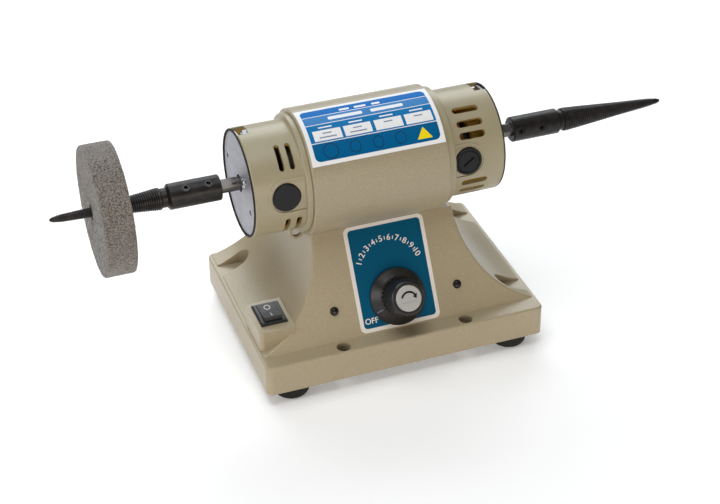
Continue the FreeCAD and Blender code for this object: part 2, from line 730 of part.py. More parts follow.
def housing_outline(flange, length):
    """Half section of an end housing, from the barrel's end out to the end plate's face."""
    shell = S.shell_radius
    inside = shell - S.shell_wall
    spigot = S.barrel_radius - S.barrel_wall - 0.1
    seat = length - S.plate_thickness
    wall = 4.0
    return [(spigot - 3, -4), (spigot, -4), (spigot, 0), (S.flange_radius - 0.4, 0),
            (S.flange_radius, 0.4), (S.flange_radius, flange - 0.5),
            (S.flange_radius - 0.5, flange), (shell + 0.4, flange), (shell, flange + 0.4),
            (shell, length - 0.6), (shell - 0.5, length), (S.plate_radius + 0.5, length),
            (S.plate_radius + 0.5, seat), (7.5, seat), (7.5, seat - wall + 0.3),
            (S.bearing_radius, seat - wall + 0.3), (S.bearing_radius, seat - 11.0),
            (14.0, seat - 11.0), (14.0, seat - wall), (inside, seat - wall), (inside, 1),
            (spigot - 3, 1)]


def ridge(name, x, angle, outboard):
    """The raised horseshoe around a cap, open towards the barrel."""
    half = 10.8
    band = 1.4
    turn = radial(angle)
    low = 29.5
    run = 26
    pieces = []
    for label, width in (("outer", half), ("inner", half - band)):
        bar = box(f"{name}_{label}_bar", run, 2 * width, 8,
                  around(x - outboard * run / 2, low, angle), turn)
        end = cylinder(f"{name}_{label}_end", width, 8, around(x, low, angle), turn)
        pieces.append(join(f"{name}_{label}", [bar, end]))
    shell = sector(f"{name}_skin", S.shell_radius - 1.2, S.shell_radius + 0.55,
                   angle - 25, angle + 25, x - 14, x + 14)
    horseshoe = cut(f"{name}_horseshoe", pieces[0], [pieces[1]])
    item = doc.addObject("Part::Common", name)
    item.Base = horseshoe
    item.Tool = shell
    return item


VENT_REACH = (27, 36)


def axial_slot(name, x_low, x_high, angle, width):
    """A vent with round ends that runs along the spindle."""
    turn = radial(angle)
    run = x_high - x_low - width
    middle = (x_low + x_high) / 2
    low, high = VENT_REACH
    bar = box(name + "_bar", run, width, high - low, around(middle, low, angle), turn)
    ends = [cylinder(f"{name}_end_{side}", width / 2, high - low,
                     around(middle + side * run / 2, low, angle), turn) for side in (-1, 1)]
    return join(name, [bar] + ends)


def curved_slot(name, x, start, end, half):
    """A vent with round ends that runs round the spindle between two angles."""
    low, high = VENT_REACH
    end_share = math.degrees(half / number(S.shell_radius))
    first, last = start + end_share, end - end_share
    bar = sector(name + "_bar", low, high, first, last, x - half, x + half)
    ends = [cylinder(f"{name}_end_{index}", half, high - low, around(x, low, angle), radial(angle))
            for index, angle in enumerate((first, last))]
    return join(name, [bar] + ends)


def end_housing(name, side, barrel_end, face, flange, cap_x, vents):
    """One end housing: side is 1 on the right and -1 on the left."""
    turn = ALONG_X if side > 0 else ALONG_MINUS_X
    blank = turned(name + "_blank", housing_outline(flange, side * (face - barrel_end)),
                   on_axis(barrel_end), turn)
    boss_low = 22 if side > 0 else 26.8
    additions = [blank]
    tools = list(vents)
    inner_wall = face - side * (S.plate_thickness + 4)
    for angle in BOLT_ANGLES:
        low, high = sorted((number(barrel_end) + side, number(inner_wall) + side * 0.5))
        additions.append(cylinder(f"{name}_bolt_boss_{angle}", 3.0, high - low,
                                  around(low, number(S.bolt_circle), angle), ALONG_X))
        low, high = sorted((number(barrel_end) - side * 5, number(face) + side))
        tools.append(cylinder(f"{name}_bolt_hole_{angle}", S.bolt_radius + 0.2, high - low,
                              around(low, number(S.bolt_circle), angle), ALONG_X))
        low, high = sorted((number(face) - side * 6.9, number(face) + side))
        tools.append(sector(f"{name}_notch_{angle}", S.bolt_circle - 3.2, 35, angle - 12,
                            angle + 12, low, high))
    for angle in BRUSH_ANGLES:
        turn = radial(angle)
        additions.append(cylinder(f"{name}_cap_boss_{angle}", 10.5, 29.4 - boss_low,
                                  around(cap_x, boss_low, angle), turn))
        additions.append(ridge(f"{name}_ridge_{angle}", cap_x, angle, side))
        tools.append(cylinder(f"{name}_cap_recess_{angle}", S.cap_radius + 0.35, 8,
                              around(cap_x, 29.3, angle), turn))
        tools.append(cylinder(f"{name}_cap_thread_{angle}", 7.1, 3.4,
                              around(cap_x, 26.2, angle), turn))
        if side > 0:
            tools.append(box(f"{name}_brush_channel_{angle}", 9.0, 7.4, 6,
                             around(cap_x, 21.0, angle), turn))
        else:
            tools.append(cylinder(f"{name}_plug_room_{angle}", 7.1, 1,
                                  around(cap_x, 25.8, angle), turn))
    for index, (dy, dz) in enumerate([(-12.2, 7.1), (12.2, -7.1)]):
        low = number(face) - 6 if side > 0 else number(face)
        tools.append(cylinder(f"{name}_plate_screw_hole_{index}", 1.3, 6,
                              (low, S.axis_y + dy, S.axis_z + dz), ALONG_X))
    if side < 0:
        additions.append(turned(f"{name}_loop", tube_outline(2.8, 4.2, -1.2, 1.2),
                                (number(barrel_end) - 4.3, -8.6, S.axis_z - 32.2), ALONG_Y))
    whole = join(name + "_whole", additions)
    whole.Refine = True
    keep(cut(name, whole, tools), name)


def end_plate(name, side, face):
    """The metal disc that closes an end, with its two screws and two open pin holes."""
    turn = ALONG_X if side > 0 else ALONG_MINUS_X
    thickness = S.plate_thickness
    outline = [(S.plate_hole, 0), (S.plate_radius, 0), (S.plate_radius, thickness - 0.3),
               (S.plate_radius - 0.3, thickness), (S.plate_hole, thickness)]
    disc = turned(name + "_disc", outline, on_axis(face - side * thickness), turn)
    low = number(face) - 3
    tools = []
    for index, (dy, dz, radius) in enumerate([(-12.2, 7.1, 1.7), (12.2, -7.1, 1.7),
                                              (23.1, 5.5, 1.7), (-20.3, -8.1, 1.7)]):
        tools.append(cylinder(f"{name}_hole_{index}", radius, 6,
                              (low, S.axis_y + dy, S.axis_z + dz), ALONG_X))
    keep(cut(name, disc, tools), name)
    screws = []
    for index, (dy, dz) in enumerate([(-12.2, 7.1), (12.2, -7.1)]):
        outline = [(0, -5.5), (1.25, -5.5), (1.25, 0), (2.9, 0), (2.9, 0.9), (2.3, 1.7),
                   (1.2, 2.1), (0, 2.2)]
        body = turned(f"{name}_screw_{index}", outline,
                      (face, S.axis_y + dy, S.axis_z + dz), turn)
        for turn_step in (0, 1):
            sketch = new_sketch(body, "XY_Plane", f"{name}_cross_{index}_{turn_step}", lift=3)
            long_side, short_side = (1.5, 0.32) if turn_step else (0.32, 1.5)
            draw_outline(sketch, rectangle(-long_side, -short_side, long_side, short_side))
            pocket(body, sketch, 2.1)
        screws.append(body)
    group(name + "_screws", screws)


def housings():
    left_vents = []
    right_vents = []
    half = 1.5
    for turn_step, back in enumerate((0, 180)):
        for x, start, end in [(-59.8, 35.5, 64.4), (-53.5, 35.5, 64.4), (-58.6, -52, -19.6),
                              (-51.9, -52, -19.6)]:
            label = f"left_vent_{turn_step}_{len(left_vents)}"
            left_vents.append(curved_slot(label, x, start + back, end + back, half))
        for angle, low, high in [(64, 46.2, 62.2), (48, 46.2, 62.2), (35, 46.2, 62.2),
                                 (-19.5, 46.6, 62.6), (-34, 46.6, 62.6), (-49, 46.6, 62.6)]:
            label = f"right_vent_{turn_step}_{len(right_vents)}"
            right_vents.append(axial_slot(label, low, high, angle + back, 4.2))
    end_housing("left_end_housing", -1, S.barrel_left, S.left_face, S.left_flange, S.plug_x,
                left_vents)
    end_housing("right_end_housing", 1, S.barrel_right, S.right_face, S.right_flange, S.brush_x,
                right_vents)
    end_plate("left_end_plate", -1, S.left_face)
    end_plate("right_end_plate", 1, S.right_face)


def through_bolts():
    bolts = []
    nuts = []
    left_seat = number(S.left_face) + 6.9
    right_seat = number(S.right_face) - 6.9
    for angle in BOLT_ANGLES:
        radius = S.bolt_radius
        reach = right_seat - left_seat
        outline = [(0, -3.4), (radius, -3.4), (radius, reach), (2.8, reach), (2.8, reach + 2.4),
                   (2.2, reach + 3.0), (0, reach + 3.0)]
        at = around(left_seat, number(S.bolt_circle), angle)
        bolts.append(turned(f"through_bolt_{angle}", outline, at, ALONG_X))
        nut = new_body(f"through_nut_{angle}", at, ALONG_X)
        sketch = new_sketch(nut, "XY_Plane", f"through_nut_{angle}_hexagon", lift=-2.5)
        draw_outline(sketch, [(3.1 * math.cos(math.radians(60 * k)),
                               3.1 * math.sin(math.radians(60 * k))) for k in range(6)])
        pad(nut, sketch, 2.45)
        sketch = new_sketch(nut, "XY_Plane", f"through_nut_{angle}_hole")
        draw_circle(sketch, (0, 0), 1.53)
        pocket(nut, sketch)
        nuts.append(nut)
    group("through_bolts", bolts)
    group("through_bolt_nuts", nuts)


def plugs_and_brushes():
    plugs = []
    caps = []
    holders = []
    for angle in BRUSH_ANGLES:
        plug = [(0, 26.4), (7.0, 26.4), (7.0, 29.35), (S.cap_radius, 29.35),
                (S.cap_radius, S.cap_top - 0.5), (S.cap_radius - 0.5, S.cap_top), (0, S.cap_top)]
        plugs.append(turned(f"blank_plug_{angle}", plug, on_axis(S.plug_x), radial(angle)))
        cap = [(0, 27.0), (3.2, 27.0), (3.2, 26.4), (7.0, 26.4), (7.0, 29.35),
               (S.cap_radius, 29.35), (S.cap_radius, S.cap_top - 0.3),
               (S.cap_radius - 0.3, S.cap_top), (6.9, S.cap_top), (6.6, S.cap_top - 0.4),
               (6.3, S.cap_top - 0.1), (0, S.cap_top - 0.1)]
        blank = turned(f"brush_cap_{angle}", cap, on_axis(S.brush_x), radial(angle))
        slot = box(f"brush_cap_slot_{angle}", 7.6, 1.3, 3, around(S.brush_x, 31.4, angle),
                   radial(angle) * Rotation(Vector(0, 0, 1), 35))
        caps.append(cut(f"brush_cap_slotted_{angle}", blank, [slot]))
        sleeve = box(f"holder_{angle}", 8.9, 7.3, 11.5, around(S.brush_x, 14.6, angle),
                     radial(angle))
        room = box(f"holder_room_{angle}", 8.2, 6.6, 14, around(S.brush_x, 13.5, angle),
                   radial(angle))
        holders.append(cut(f"brush_holder_{angle}", sleeve, [room]))
    group("blank_plugs", plugs)
    group("brush_caps", caps)
    group("brush_holders", holders)
    for label, angle in zip(("front", "back"), BRUSH_ANGLES):
        brush = box(f"{label}_carbon_brush", 8.0, 6.4, 8.2, around(S.brush_x, 12.1, angle),
                    radial(angle))
        keep(brush, f"{label}_carbon_brush")
        spring = turned(f"{label}_brush_spring", tube_outline(1.9, 2.7, 20.4, 26.9),
                        on_axis(S.brush_x), radial(angle))
        keep(spring, f"{label}_brush_spring")


def stator():
    length = S.core_right - S.core_left
    core = turned("stator_stack", tube_outline(S.stator_bore, S.stator_radius, 0, length),
                  on_axis(S.core_left), ALONG_X)
    tools = [sector(f"winding_window_{side}", 18, 28.5, side - 34, side + 34,
                    S.core_left - 1, S.core_right + 1) for side in (0, 180)]
    tools += [cylinder(f"stator_bolt_hole_{angle}", S.bolt_radius + 0.2, length + 2,
                       around(S.core_left - 1, number(S.bolt_circle), angle), ALONG_X)
              for angle in BOLT_ANGLES]
    keep(cut("stator_core", core, tools), "stator_core")
    coils = []
    for label, start in (("upper", 8), ("lower", 188)):
        span = 164
        ends = [sector(f"{label}_coil_end_{k}", 21, 26.4, start, start + span, low, high)
                for k, (low, high) in enumerate([(-33.0, -25.3), (20.3, 28.0)])]
        legs = [sector(f"{label}_coil_leg_{k}", 20.6, 27.8, angle, angle + 22, -33.0, 28.0)
                for k, angle in enumerate((start, start + span - 22))]
        coils.append(join(f"{label}_coil", ends + legs))
    group("field_windings", coils)


# ---------------------------------------------------------------- spindle, all that turns
def bearing_ends():
    """The low x of each ball bearing."""
    seat = S.plate_thickness + 11.0
    return [S.left_face + seat - S.bearing_width, S.right_face - seat + 0.1]


def shaft():
    low, high = bearing_ends()
    half, end, middle = S.shaft_half, S.shaft_radius, S.shaft_middle
    outline = [(0, -half), (end - 0.5, -half), (end, 0.5 - half), (end, low + S.bearing_width),
               (middle, low + S.bearing_width), (middle, high), (end, high), (end, half - 0.5),
               (end - 0.5, half), (0, half)]
    rod = turned("shaft_rod", outline, on_axis(0), ALONG_X)
    flats = []
    for side in (-1, 1):
        flats.append(box(f"shaft_flat_{side}", 34, 10, 3, around(side * 100, 3.4, 60),
                         radial(60)))
    keep(cut("motor_shaft", rod, flats), "motor_shaft")


def bearings():
    outer = []
    inner = []
    cages = []
    width = S.bearing_width
    for index, low in enumerate(bearing_ends()):
        outer.append(turned(f"outer_ring_{index}", tube_outline(9.65, S.bearing_radius, 0, width),
                            on_axis(low), ALONG_X))
        inner.append(turned(f"inner_ring_{index}", tube_outline(S.shaft_radius, 5.35, 0, width),
                            on_axis(low), ALONG_X))
        cage = turned(f"cage_{index}", tube_outline(7.0, 8.0, 2.7, 4.3), on_axis(low), ALONG_X)
        balls = []
        for ball in range(7):
            turn = 2 * math.pi * ball / 7
            item = doc.addObject("Part::Sphere", f"ball_{index}_{ball}")
            item.Radius = 1.98
            place(item, (low + width / 2, S.axis_y + 7.5 * math.cos(turn),
                         S.axis_z + 7.5 * math.sin(turn)), UPRIGHT)
            balls.append(item)
        cages.append(join(f"ball_set_{index}", [cage] + balls))
    group("bearing_outer_rings", outer)
    group("bearing_inner_rings", inner)
    group("bearing_balls", cages)


def armature():
    length = S.core_right - S.core_left
    bore = S.shaft_middle + 0.02
    core = turned("armature_core", tube_outline(bore, S.armature_radius, 0, length),
                  on_axis(S.core_left), ALONG_X)
    sketch = new_sketch(core, "XY_Plane", "armature_slot", lift=-1)
    draw_circle(sketch, (S.armature_radius - 0.8, 0), 1.6)
    repeat_round(core, pocket(core, sketch, length + 2, up=True), 12)
    keep(core, "armature_core")
    bell = [(bore + 2, 0.05), (15.5, 0.05), (16.6, 1.4), (16.6, 5.2), (14.8, 7.6), (10.5, 8.6),
            (bore + 2, 8.0)]
    group("armature_windings", [
        turned("left_winding_bell", bell, on_axis(S.core_left), ALONG_MINUS_X),
        turned("right_winding_bell", bell, on_axis(S.core_right), ALONG_X)])
    track = S.commutator_radius
    segments = turned("commutator", [(bore, 0), (8.0, 0), (8.0, 1.0), (13.2, 1.0), (13.2, 2.6),
                                     (track, 3.0), (track, 17.0), (bore, 17.0)],
                      on_axis(39.0), ALONG_X)
    sketch = new_sketch(segments, "XY_Plane", "commutator_slot", lift=3.2)
    draw_outline(sketch, rectangle(track - 0.8, -0.2, track + 1, 0.2))
    repeat_round(segments, pocket(segments, sketch, 15, up=True), 24)
    keep(segments, "commutator")


def cooling_fan():
    bore = S.shaft_middle + 0.02
    fan = turned("cooling_fan", [(bore, 0), (9, 0), (9, 8.4), (24.4, 8.4), (24.4, 10), (bore, 10)],
                 on_axis(-61.0), ALONG_X)
    sketch = new_sketch(fan, "XY_Plane", "fan_blade", lift=0.4)
    draw_outline(sketch, rectangle(8.5, -0.8, 24.2, 0.8))
    repeat_round(fan, pad(fan, sketch, 8.6), 9)
    keep(fan, "cooling_fan")


def adaptor(name, at, turn, taper, screws):
    """A sleeve on the shaft's end that carries on as a taper; screws are (x, angle) pairs."""
    sleeve = S.adaptor_radius
    bore = S.shaft_radius + 0.03
    length = 30.4
    outline = [(bore, 0), (sleeve - 0.6, 0), (sleeve, 0.6), (sleeve, length - 0.7),
               (sleeve - 0.7, length)] + taper + [(0, S.adaptor_bore_depth),
                                                  (bore, S.adaptor_bore_depth)]
    blank = turned(name + "_blank", outline, at, turn)
    holes = [cylinder(f"{name}_hole_{k}", 2.3, 6, around(x, 3.2, angle), radial(angle))
             for k, (x, angle) in enumerate(screws)]
    keep(cut(name, blank, holes), name)
    found = []
    for k, (x, angle) in enumerate(screws):
        plug = cylinder(f"{name}_set_screw_blank_{k}", 2.25, 3.0, around(x, 4.05, angle),
                        radial(angle))
        socket = doc.addObject("Part::Prism", f"{name}_socket_{k}")
        socket.Polygon = 6
        bind(socket, Circumradius=1.4, Height=3)
        place(socket, around(x, 5.4, angle), radial(angle))
        found.append(cut(f"{name}_set_screw_{k}", plug, [socket]))
    return found


def adaptors():
    left = adaptor("left_adaptor", on_axis(S.left_adaptor), ALONG_MINUS_X,
                   [(5.6, 31.2), (5.6, 34.2), (6.4, 35.0), (5.0, 49.3), (4.4, 56.4),
                    (2.75, 74.1), (2.1, 91.0), (1.5, 95.6), (0.7, 97.2), (0, 97.4)],
                   [(-109.9, 60), (-96.8, 60)])
    right = adaptor("right_adaptor", on_axis(S.right_adaptor), ALONG_X,
                    [(6.0, 31.1), (6.0, 33.2), (6.9, 33.8), (6.7, 35.6), (5.9, 46.0),
                     (4.7, 60.0), (3.6, 73.0), (2.6, 87.0), (1.6, 97.5), (0.8, 99.6), (0, 100.0)],
                    [(94.2, 15), (107.6, 15)])
    group("adaptor_set_screws", left + right)


def polishing_wheel():
    width = S.wheel_inner - S.wheel_outer
    rim = S.wheel_radius
    outline = [(S.wheel_hole, 0), (rim - 1.2, 0), (rim - 0.35, 0.35), (rim, 1.2),
               (rim, width - 1.2), (rim - 0.35, width - 0.35), (rim - 1.2, width),
               (S.wheel_hole, width)]
    keep(turned("polishing_wheel", outline, on_axis(S.wheel_outer), ALONG_X), "polishing_wheel")


base_casting()
bottom_plate()
feet()
cable_gland()
front_label()
panel_screws()
potentiometer()
speed_knob()
rocker_switch()
control_board()
motor_barrel()
housings()
through_bolts()
plugs_and_brushes()
stator()
shaft()
bearings()
armature()
cooling_fan()
adaptors()
polishing_wheel()


def save_parts():
    """Check every object and write each sub-part's shape to its own file."""
    doc.recompute()
    for item in doc.Objects:
        if "Invalid" in item.State or "Error" in item.State:
            raise RuntimeError(f"{item.Name} failed: {item.State}")
    os.makedirs("parts", exist_ok=True)
    for item in PARTS:
        if item.Shape.isNull() or not item.Shape.isValid() or not item.Shape.Solids:
            raise RuntimeError(f"{item.Label} has no valid solid")
        item.Shape.exportStep(f"parts/{item.Label}.step")
        print(item.Label, len(item.Shape.Solids), round(item.Shape.Volume, 1))


save_parts()
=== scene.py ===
# %% [markdown]
# # A bench polishing lathe, finished around its CAD frame
# The machine is a motor in a barrel on a cast foot. Its shaft comes out at both ends and carries
# a threaded taper on each side, and a grey polishing wheel screws onto the left one. The CAD model
# already holds every size and every moving body. This lesson adds what CAD leaves plain: painted,
# moulded and blackened finishes, cut threads, a fibre wheel, and printed plates.
# Each step says what the real thing is, how it could be made, and why one way was picked.

# %% Load the CAD frame
import json
import math

import bpy
from mathutils import Matrix, Vector


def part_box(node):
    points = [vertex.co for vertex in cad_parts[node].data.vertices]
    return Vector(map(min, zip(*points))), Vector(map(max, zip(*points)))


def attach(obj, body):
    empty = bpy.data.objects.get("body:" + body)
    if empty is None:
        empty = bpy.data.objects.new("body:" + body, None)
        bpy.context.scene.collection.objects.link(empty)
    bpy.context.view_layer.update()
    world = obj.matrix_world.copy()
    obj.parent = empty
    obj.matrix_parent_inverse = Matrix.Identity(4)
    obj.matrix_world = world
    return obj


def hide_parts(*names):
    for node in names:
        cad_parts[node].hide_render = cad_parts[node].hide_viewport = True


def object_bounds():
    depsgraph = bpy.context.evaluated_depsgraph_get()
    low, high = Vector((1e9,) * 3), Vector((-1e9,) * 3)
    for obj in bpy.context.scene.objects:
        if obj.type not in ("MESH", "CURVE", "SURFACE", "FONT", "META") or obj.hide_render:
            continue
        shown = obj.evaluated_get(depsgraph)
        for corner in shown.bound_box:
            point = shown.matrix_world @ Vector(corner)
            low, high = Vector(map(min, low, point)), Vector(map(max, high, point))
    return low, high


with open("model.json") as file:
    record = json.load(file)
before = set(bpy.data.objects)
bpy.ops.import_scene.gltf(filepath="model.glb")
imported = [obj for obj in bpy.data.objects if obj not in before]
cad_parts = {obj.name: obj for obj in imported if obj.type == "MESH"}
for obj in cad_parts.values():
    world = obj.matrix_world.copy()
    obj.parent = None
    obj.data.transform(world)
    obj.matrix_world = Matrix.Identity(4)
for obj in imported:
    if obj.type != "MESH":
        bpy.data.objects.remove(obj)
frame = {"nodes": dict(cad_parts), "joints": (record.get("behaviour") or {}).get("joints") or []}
cad_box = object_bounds()
nodes = frame["nodes"]
MM = 0.001
joints = {joint["name"]: joint for joint in frame["joints"]}
print("CAD nodes:", len(nodes), "box:", [[round(v, 4) for v in corner] for corner in cad_box])

# %% [markdown]
# ## Where things are
# Two lines rule the whole object: the spindle's axis, and the speed knob's axis, which is square
# to the sloping front. Both are joint axes of the CAD frame, so they are read from there and
# never typed in. A matrix for each turns a flat or turned shape into its place in one step.

# %% Read the two axes
spindle_at = Vector(joints["spindle_spin"]["pos_m"])
knob_at = Vector(joints["speed_turn"]["pos_m"])
front_out = Vector(joints["speed_turn"]["axis"]).normalized()
ALONG_X = Vector((1, 0, 0))


def placed(at, x_axis, y_axis, z_axis):
    """A matrix that puts a shape's own X, Y and Z along three directions, at one point."""
    turn = Matrix((x_axis, y_axis, z_axis)).transposed().to_4x4()
    return Matrix.Translation(at) @ turn


def on_spindle(x, way=1):
    """Own Z runs along the spindle: to the right with way 1, to the left with way -1."""
    at = Vector((x, spindle_at.y, spindle_at.z))
    return placed(at, Vector((0, 0, -way)), Vector((0, 1, 0)), ALONG_X * way)


def on_front(right=0.0, uphill=0.0, out=0.0):
    """Own Z faces out of the sloping front; the origin is where the knob's axis meets it."""
    slope = front_out.cross(ALONG_X)
    return placed(knob_at + ALONG_X * right + slope * uphill + front_out * out,
                  ALONG_X, slope, front_out)


print("spindle through", tuple(spindle_at), "knob at", tuple(round(v, 4) for v in knob_at))

# %% [markdown]
# ## Camera
# A long lens from the front, to the left and above, shows the sloping front, the end disc and
# the top of the barrel at once. The camera's turn is worked out from the point that it looks at,
# with a small roll, because a hand-levelled camera is seldom quite level.

# %% Place the camera
camera_at = Vector((-0.28561, -0.78546, 0.61681))
camera_target = Vector((-0.0071, 0.0, 0.04895))
camera_roll = -0.0132466
camera = bpy.data.cameras.new("camera")
camera.lens = 84.158
camera.sensor_width = 36.0
camera_object = bpy.data.objects.new("camera", camera)
bpy.context.scene.collection.objects.link(camera_object)
aim = (camera_target - camera_at).to_track_quat("-Z", "Y").to_matrix().to_4x4()
camera_object.matrix_world = (Matrix.Translation(camera_at) @ aim
                              @ Matrix.Rotation(camera_roll, 4, "Z"))
bpy.context.scene.camera = camera_object
print("camera distance:", round((camera_target - camera_at).length, 3), "m")

# %% [markdown]
# ## Light and floor
# Catalogue light is a bright room of white paper with large soft lamps. The world itself lights
# little, a bit more from behind than from the front, so that printed films facing front keep
# their colour, but it is seen as a pale wall. A broad cool panel behind, reflected in everything
# that faces up, gives the paint its pale silky sheen. A lamp above and one on the left shape the
# rest, and a warm one in front fills the shadows. The floor is plain white paper with a faint
# glow of its own, which keeps the shadows on it light.

# %% Make the room
FRONT_LIGHT, BACK_LIGHT = 0.42, 0.95
WORLD_GREY = 0.0509
PALE_WALL = 15.0
bpy.context.scene.view_settings.view_transform = "Standard"
world = bpy.data.worlds.new("studio")
world.use_nodes = True
air = world.node_tree
sky_way = air.nodes.new("ShaderNodeTexCoord")
sky_parts = air.nodes.new("ShaderNodeSeparateXYZ")
air.links.new(sky_way.outputs["Generated"], sky_parts.inputs[0])
front_to_back = air.nodes.new("ShaderNodeMapRange")
for label, value in (("From Min", -0.9), ("From Max", 0.7), ("To Min", FRONT_LIGHT),
                     ("To Max", BACK_LIGHT)):
    front_to_back.inputs[label].default_value = value
air.links.new(sky_parts.outputs["Y"], front_to_back.inputs["Value"])
sight = air.nodes.new("ShaderNodeLightPath")
pale_wall = air.nodes.new("ShaderNodeMath")
pale_wall.operation = "MULTIPLY_ADD"
pale_wall.inputs[1].default_value = PALE_WALL
air.links.new(sight.outputs["Is Camera Ray"], pale_wall.inputs[0])
air.links.new(front_to_back.outputs[0], pale_wall.inputs[2])
air.nodes["Background"].inputs["Color"].default_value = (*[WORLD_GREY] * 3, 1.0)
air.links.new(pale_wall.outputs[0], air.nodes["Background"].inputs["Strength"])
bpy.context.scene.world = world


def soft_lamp(name, at, aimed_at, size, power, colour=(1.0, 1.0, 1.0)):
    lamp = bpy.data.lights.new(name, "AREA")
    lamp.shape = "RECTANGLE"
    lamp.size, lamp.size_y = size
    lamp.energy = power
    lamp.color = colour
    lamp_object = bpy.data.objects.new(name, lamp)
    bpy.context.scene.collection.objects.link(lamp_object)
    turn = (Vector(aimed_at) - Vector(at)).to_track_quat("-Z", "Y").to_matrix().to_4x4()
    lamp_object.matrix_world = Matrix.Translation(at) @ turn
    return lamp_object


middle = (cad_box[0] + cad_box[1]) / 2
soft_lamp("back_panel", (0.25, 1.35, 1.05), middle, (2.4, 1.0), 27.0, (0.92, 0.97, 1.0))
soft_lamp("top_lamp", (-0.2, -0.05, 1.35), middle, (1.1, 0.8), 10.0, (0.94, 0.98, 1.0))
soft_lamp("left_lamp", (-1.35, -0.35, 0.6), middle, (0.8, 0.8), 5.5, (1.0, 0.98, 0.96))
soft_lamp("front_lamp", (-0.15, -1.7, 0.35), middle, (0.9, 0.6), 10.0, (1.0, 0.92, 0.79))

FLOOR_REACH = 2.0
FLOOR_GLOW = 0.2
floor_mesh = bpy.data.meshes.new("floor")
floor_mesh.from_pydata([(-FLOOR_REACH, -FLOOR_REACH, 0), (FLOOR_REACH, -FLOOR_REACH, 0),
                        (FLOOR_REACH, FLOOR_REACH, 0), (-FLOOR_REACH, FLOOR_REACH, 0)],
                       [], [(0, 1, 2, 3)])
floor = bpy.data.objects.new("floor", floor_mesh)
bpy.context.scene.collection.objects.link(floor)
paper = bpy.data.materials.new("floor_paper")
paper.use_nodes = True
paper_shader = paper.node_tree.nodes["Principled BSDF"]
paper_shader.inputs["Base Color"].default_value = (0.94, 0.93, 0.93, 1.0)
paper_shader.inputs["Roughness"].default_value = 0.8
paper_shader.inputs["Emission Color"].default_value = (1.0, 1.0, 1.0, 1.0)
paper_shader.inputs["Emission Strength"].default_value = FLOOR_GLOW
floor.data.materials.append(paper)

# %% [markdown]
# ## A small kit for finishes
# A finish starts from one shader with its plain values set on the shader's own sockets. Patterns
# are then added as nodes on top. All patterns read Object coordinates, in metres, so a scale of
# 1000 means features of about one millimetre, and they stay put when a body moves.

# %% Helpers that build material nodes
def finish(name, colour, roughness, metallic=0.0, **extra):
    """A material with one shader; extra sockets are given as words_with_underscores."""
    material = bpy.data.materials.new(name)
    material.use_nodes = True
    shader = material.node_tree.nodes["Principled BSDF"]
    shader.inputs["Base Color"].default_value = (*colour, 1)
    shader.inputs["Roughness"].default_value = roughness
    shader.inputs["Metallic"].default_value = metallic
    for label, value in extra.items():
        words = label.replace("_", " ").title().replace("Ior", "IOR")
        shader.inputs[words].default_value = value
    return material


def shader_of(material):
    return material.node_tree.nodes["Principled BSDF"]


def add_node(material, kind, inputs=None, **settings):
    node = material.node_tree.nodes.new(kind)
    for key, value in settings.items():
        setattr(node, key, value)
    for key, value in (inputs or {}).items():
        node.inputs[key].default_value = value
    return node


def wire(material, source, target):
    material.node_tree.links.new(source, target)


def place_on(material, stretch=(1, 1, 1), turn=(0, 0, 0), shift=(0, 0, 0)):
    """Object coordinates, stretched or turned."""
    point = add_node(material, "ShaderNodeTexCoord")
    mapping = add_node(material, "ShaderNodeMapping")
    mapping.inputs["Scale"].default_value = stretch
    mapping.inputs["Rotation"].default_value = turn
    mapping.inputs["Location"].default_value = shift
    wire(material, point.outputs["Object"], mapping.inputs["Vector"])
    return mapping.outputs["Vector"]


def cloud(material, scale, detail=3.0, stretch=(1, 1, 1)):
    noise = add_node(material, "ShaderNodeTexNoise", {"Scale": scale, "Detail": detail})
    wire(material, place_on(material, stretch), noise.inputs["Vector"])
    return noise.outputs["Fac"]


def cells(material, scale, feature="F1", output="Distance", stretch=(1, 1, 1)):
    pattern = add_node(material, "ShaderNodeTexVoronoi", {"Scale": scale}, feature=feature)
    wire(material, place_on(material, stretch), pattern.inputs["Vector"])
    return pattern.outputs[output]


def spread(material, value, low, high, from_low=0.3, from_high=0.7):
    """Turns a pattern's usual range into another range."""
    node = add_node(material, "ShaderNodeMapRange", {
        "From Min": from_low, "From Max": from_high, "To Min": low, "To Max": high})
    wire(material, value, node.inputs["Value"])
    return node.outputs["Result"]


def blend_colours(material, share, first, second):
    """Mixes two colours, or a colour and a colour socket, by a pattern."""
    mix = add_node(material, "ShaderNodeMix", data_type="RGBA")
    wire(material, share, mix.inputs["Factor"])
    for value, slot in ((first, mix.inputs[6]), (second, mix.inputs[7])):
        if isinstance(value, tuple):
            slot.default_value = (*value, 1)
        else:
            wire(material, value, slot)
    return mix.outputs[2]


def use_colour(material, colour):
    wire(material, colour, shader_of(material).inputs["Base Color"])


def use_roughness(material, value):
    wire(material, value, shader_of(material).inputs["Roughness"])


def relief(material, height, depth, strength=1.0):
    """Adds a bump of that depth, in metres, on top of any bump there already."""
    bump = add_node(material, "ShaderNodeBump", {"Strength": strength, "Distance": depth})
    wire(material, height, bump.inputs["Height"])
    normal = shader_of(material).inputs["Normal"]
    if normal.is_linked:
        wire(material, normal.links[0].from_socket, bump.inputs["Normal"])
    wire(material, bump.outputs["Normal"], normal)


def worn(material, colour, mark, scale=90.0, amount=0.35):
    """Lets large soft clouds lean a finish towards a second tone."""
    share = spread(material, cloud(material, scale, 4.0), 0.0, amount)
    use_colour(material, blend_colours(material, share, colour, mark))


print("finish kit ready")

# %% [markdown]
# ## Painted casting
# The foot and the barrel are cast metal under a thick powder coat. Powder coat flows before it
# sets, which leaves a fine orange peel, and this one holds metal flakes that sparkle in the
# light. The peel is two bumps of different size. The flakes are random cells: a few of them
# are turned to metal by a threshold, so they only flash where a lamp meets them.

# %% The casting's powder coat
CASTING = (0.385, 0.315, 0.2)


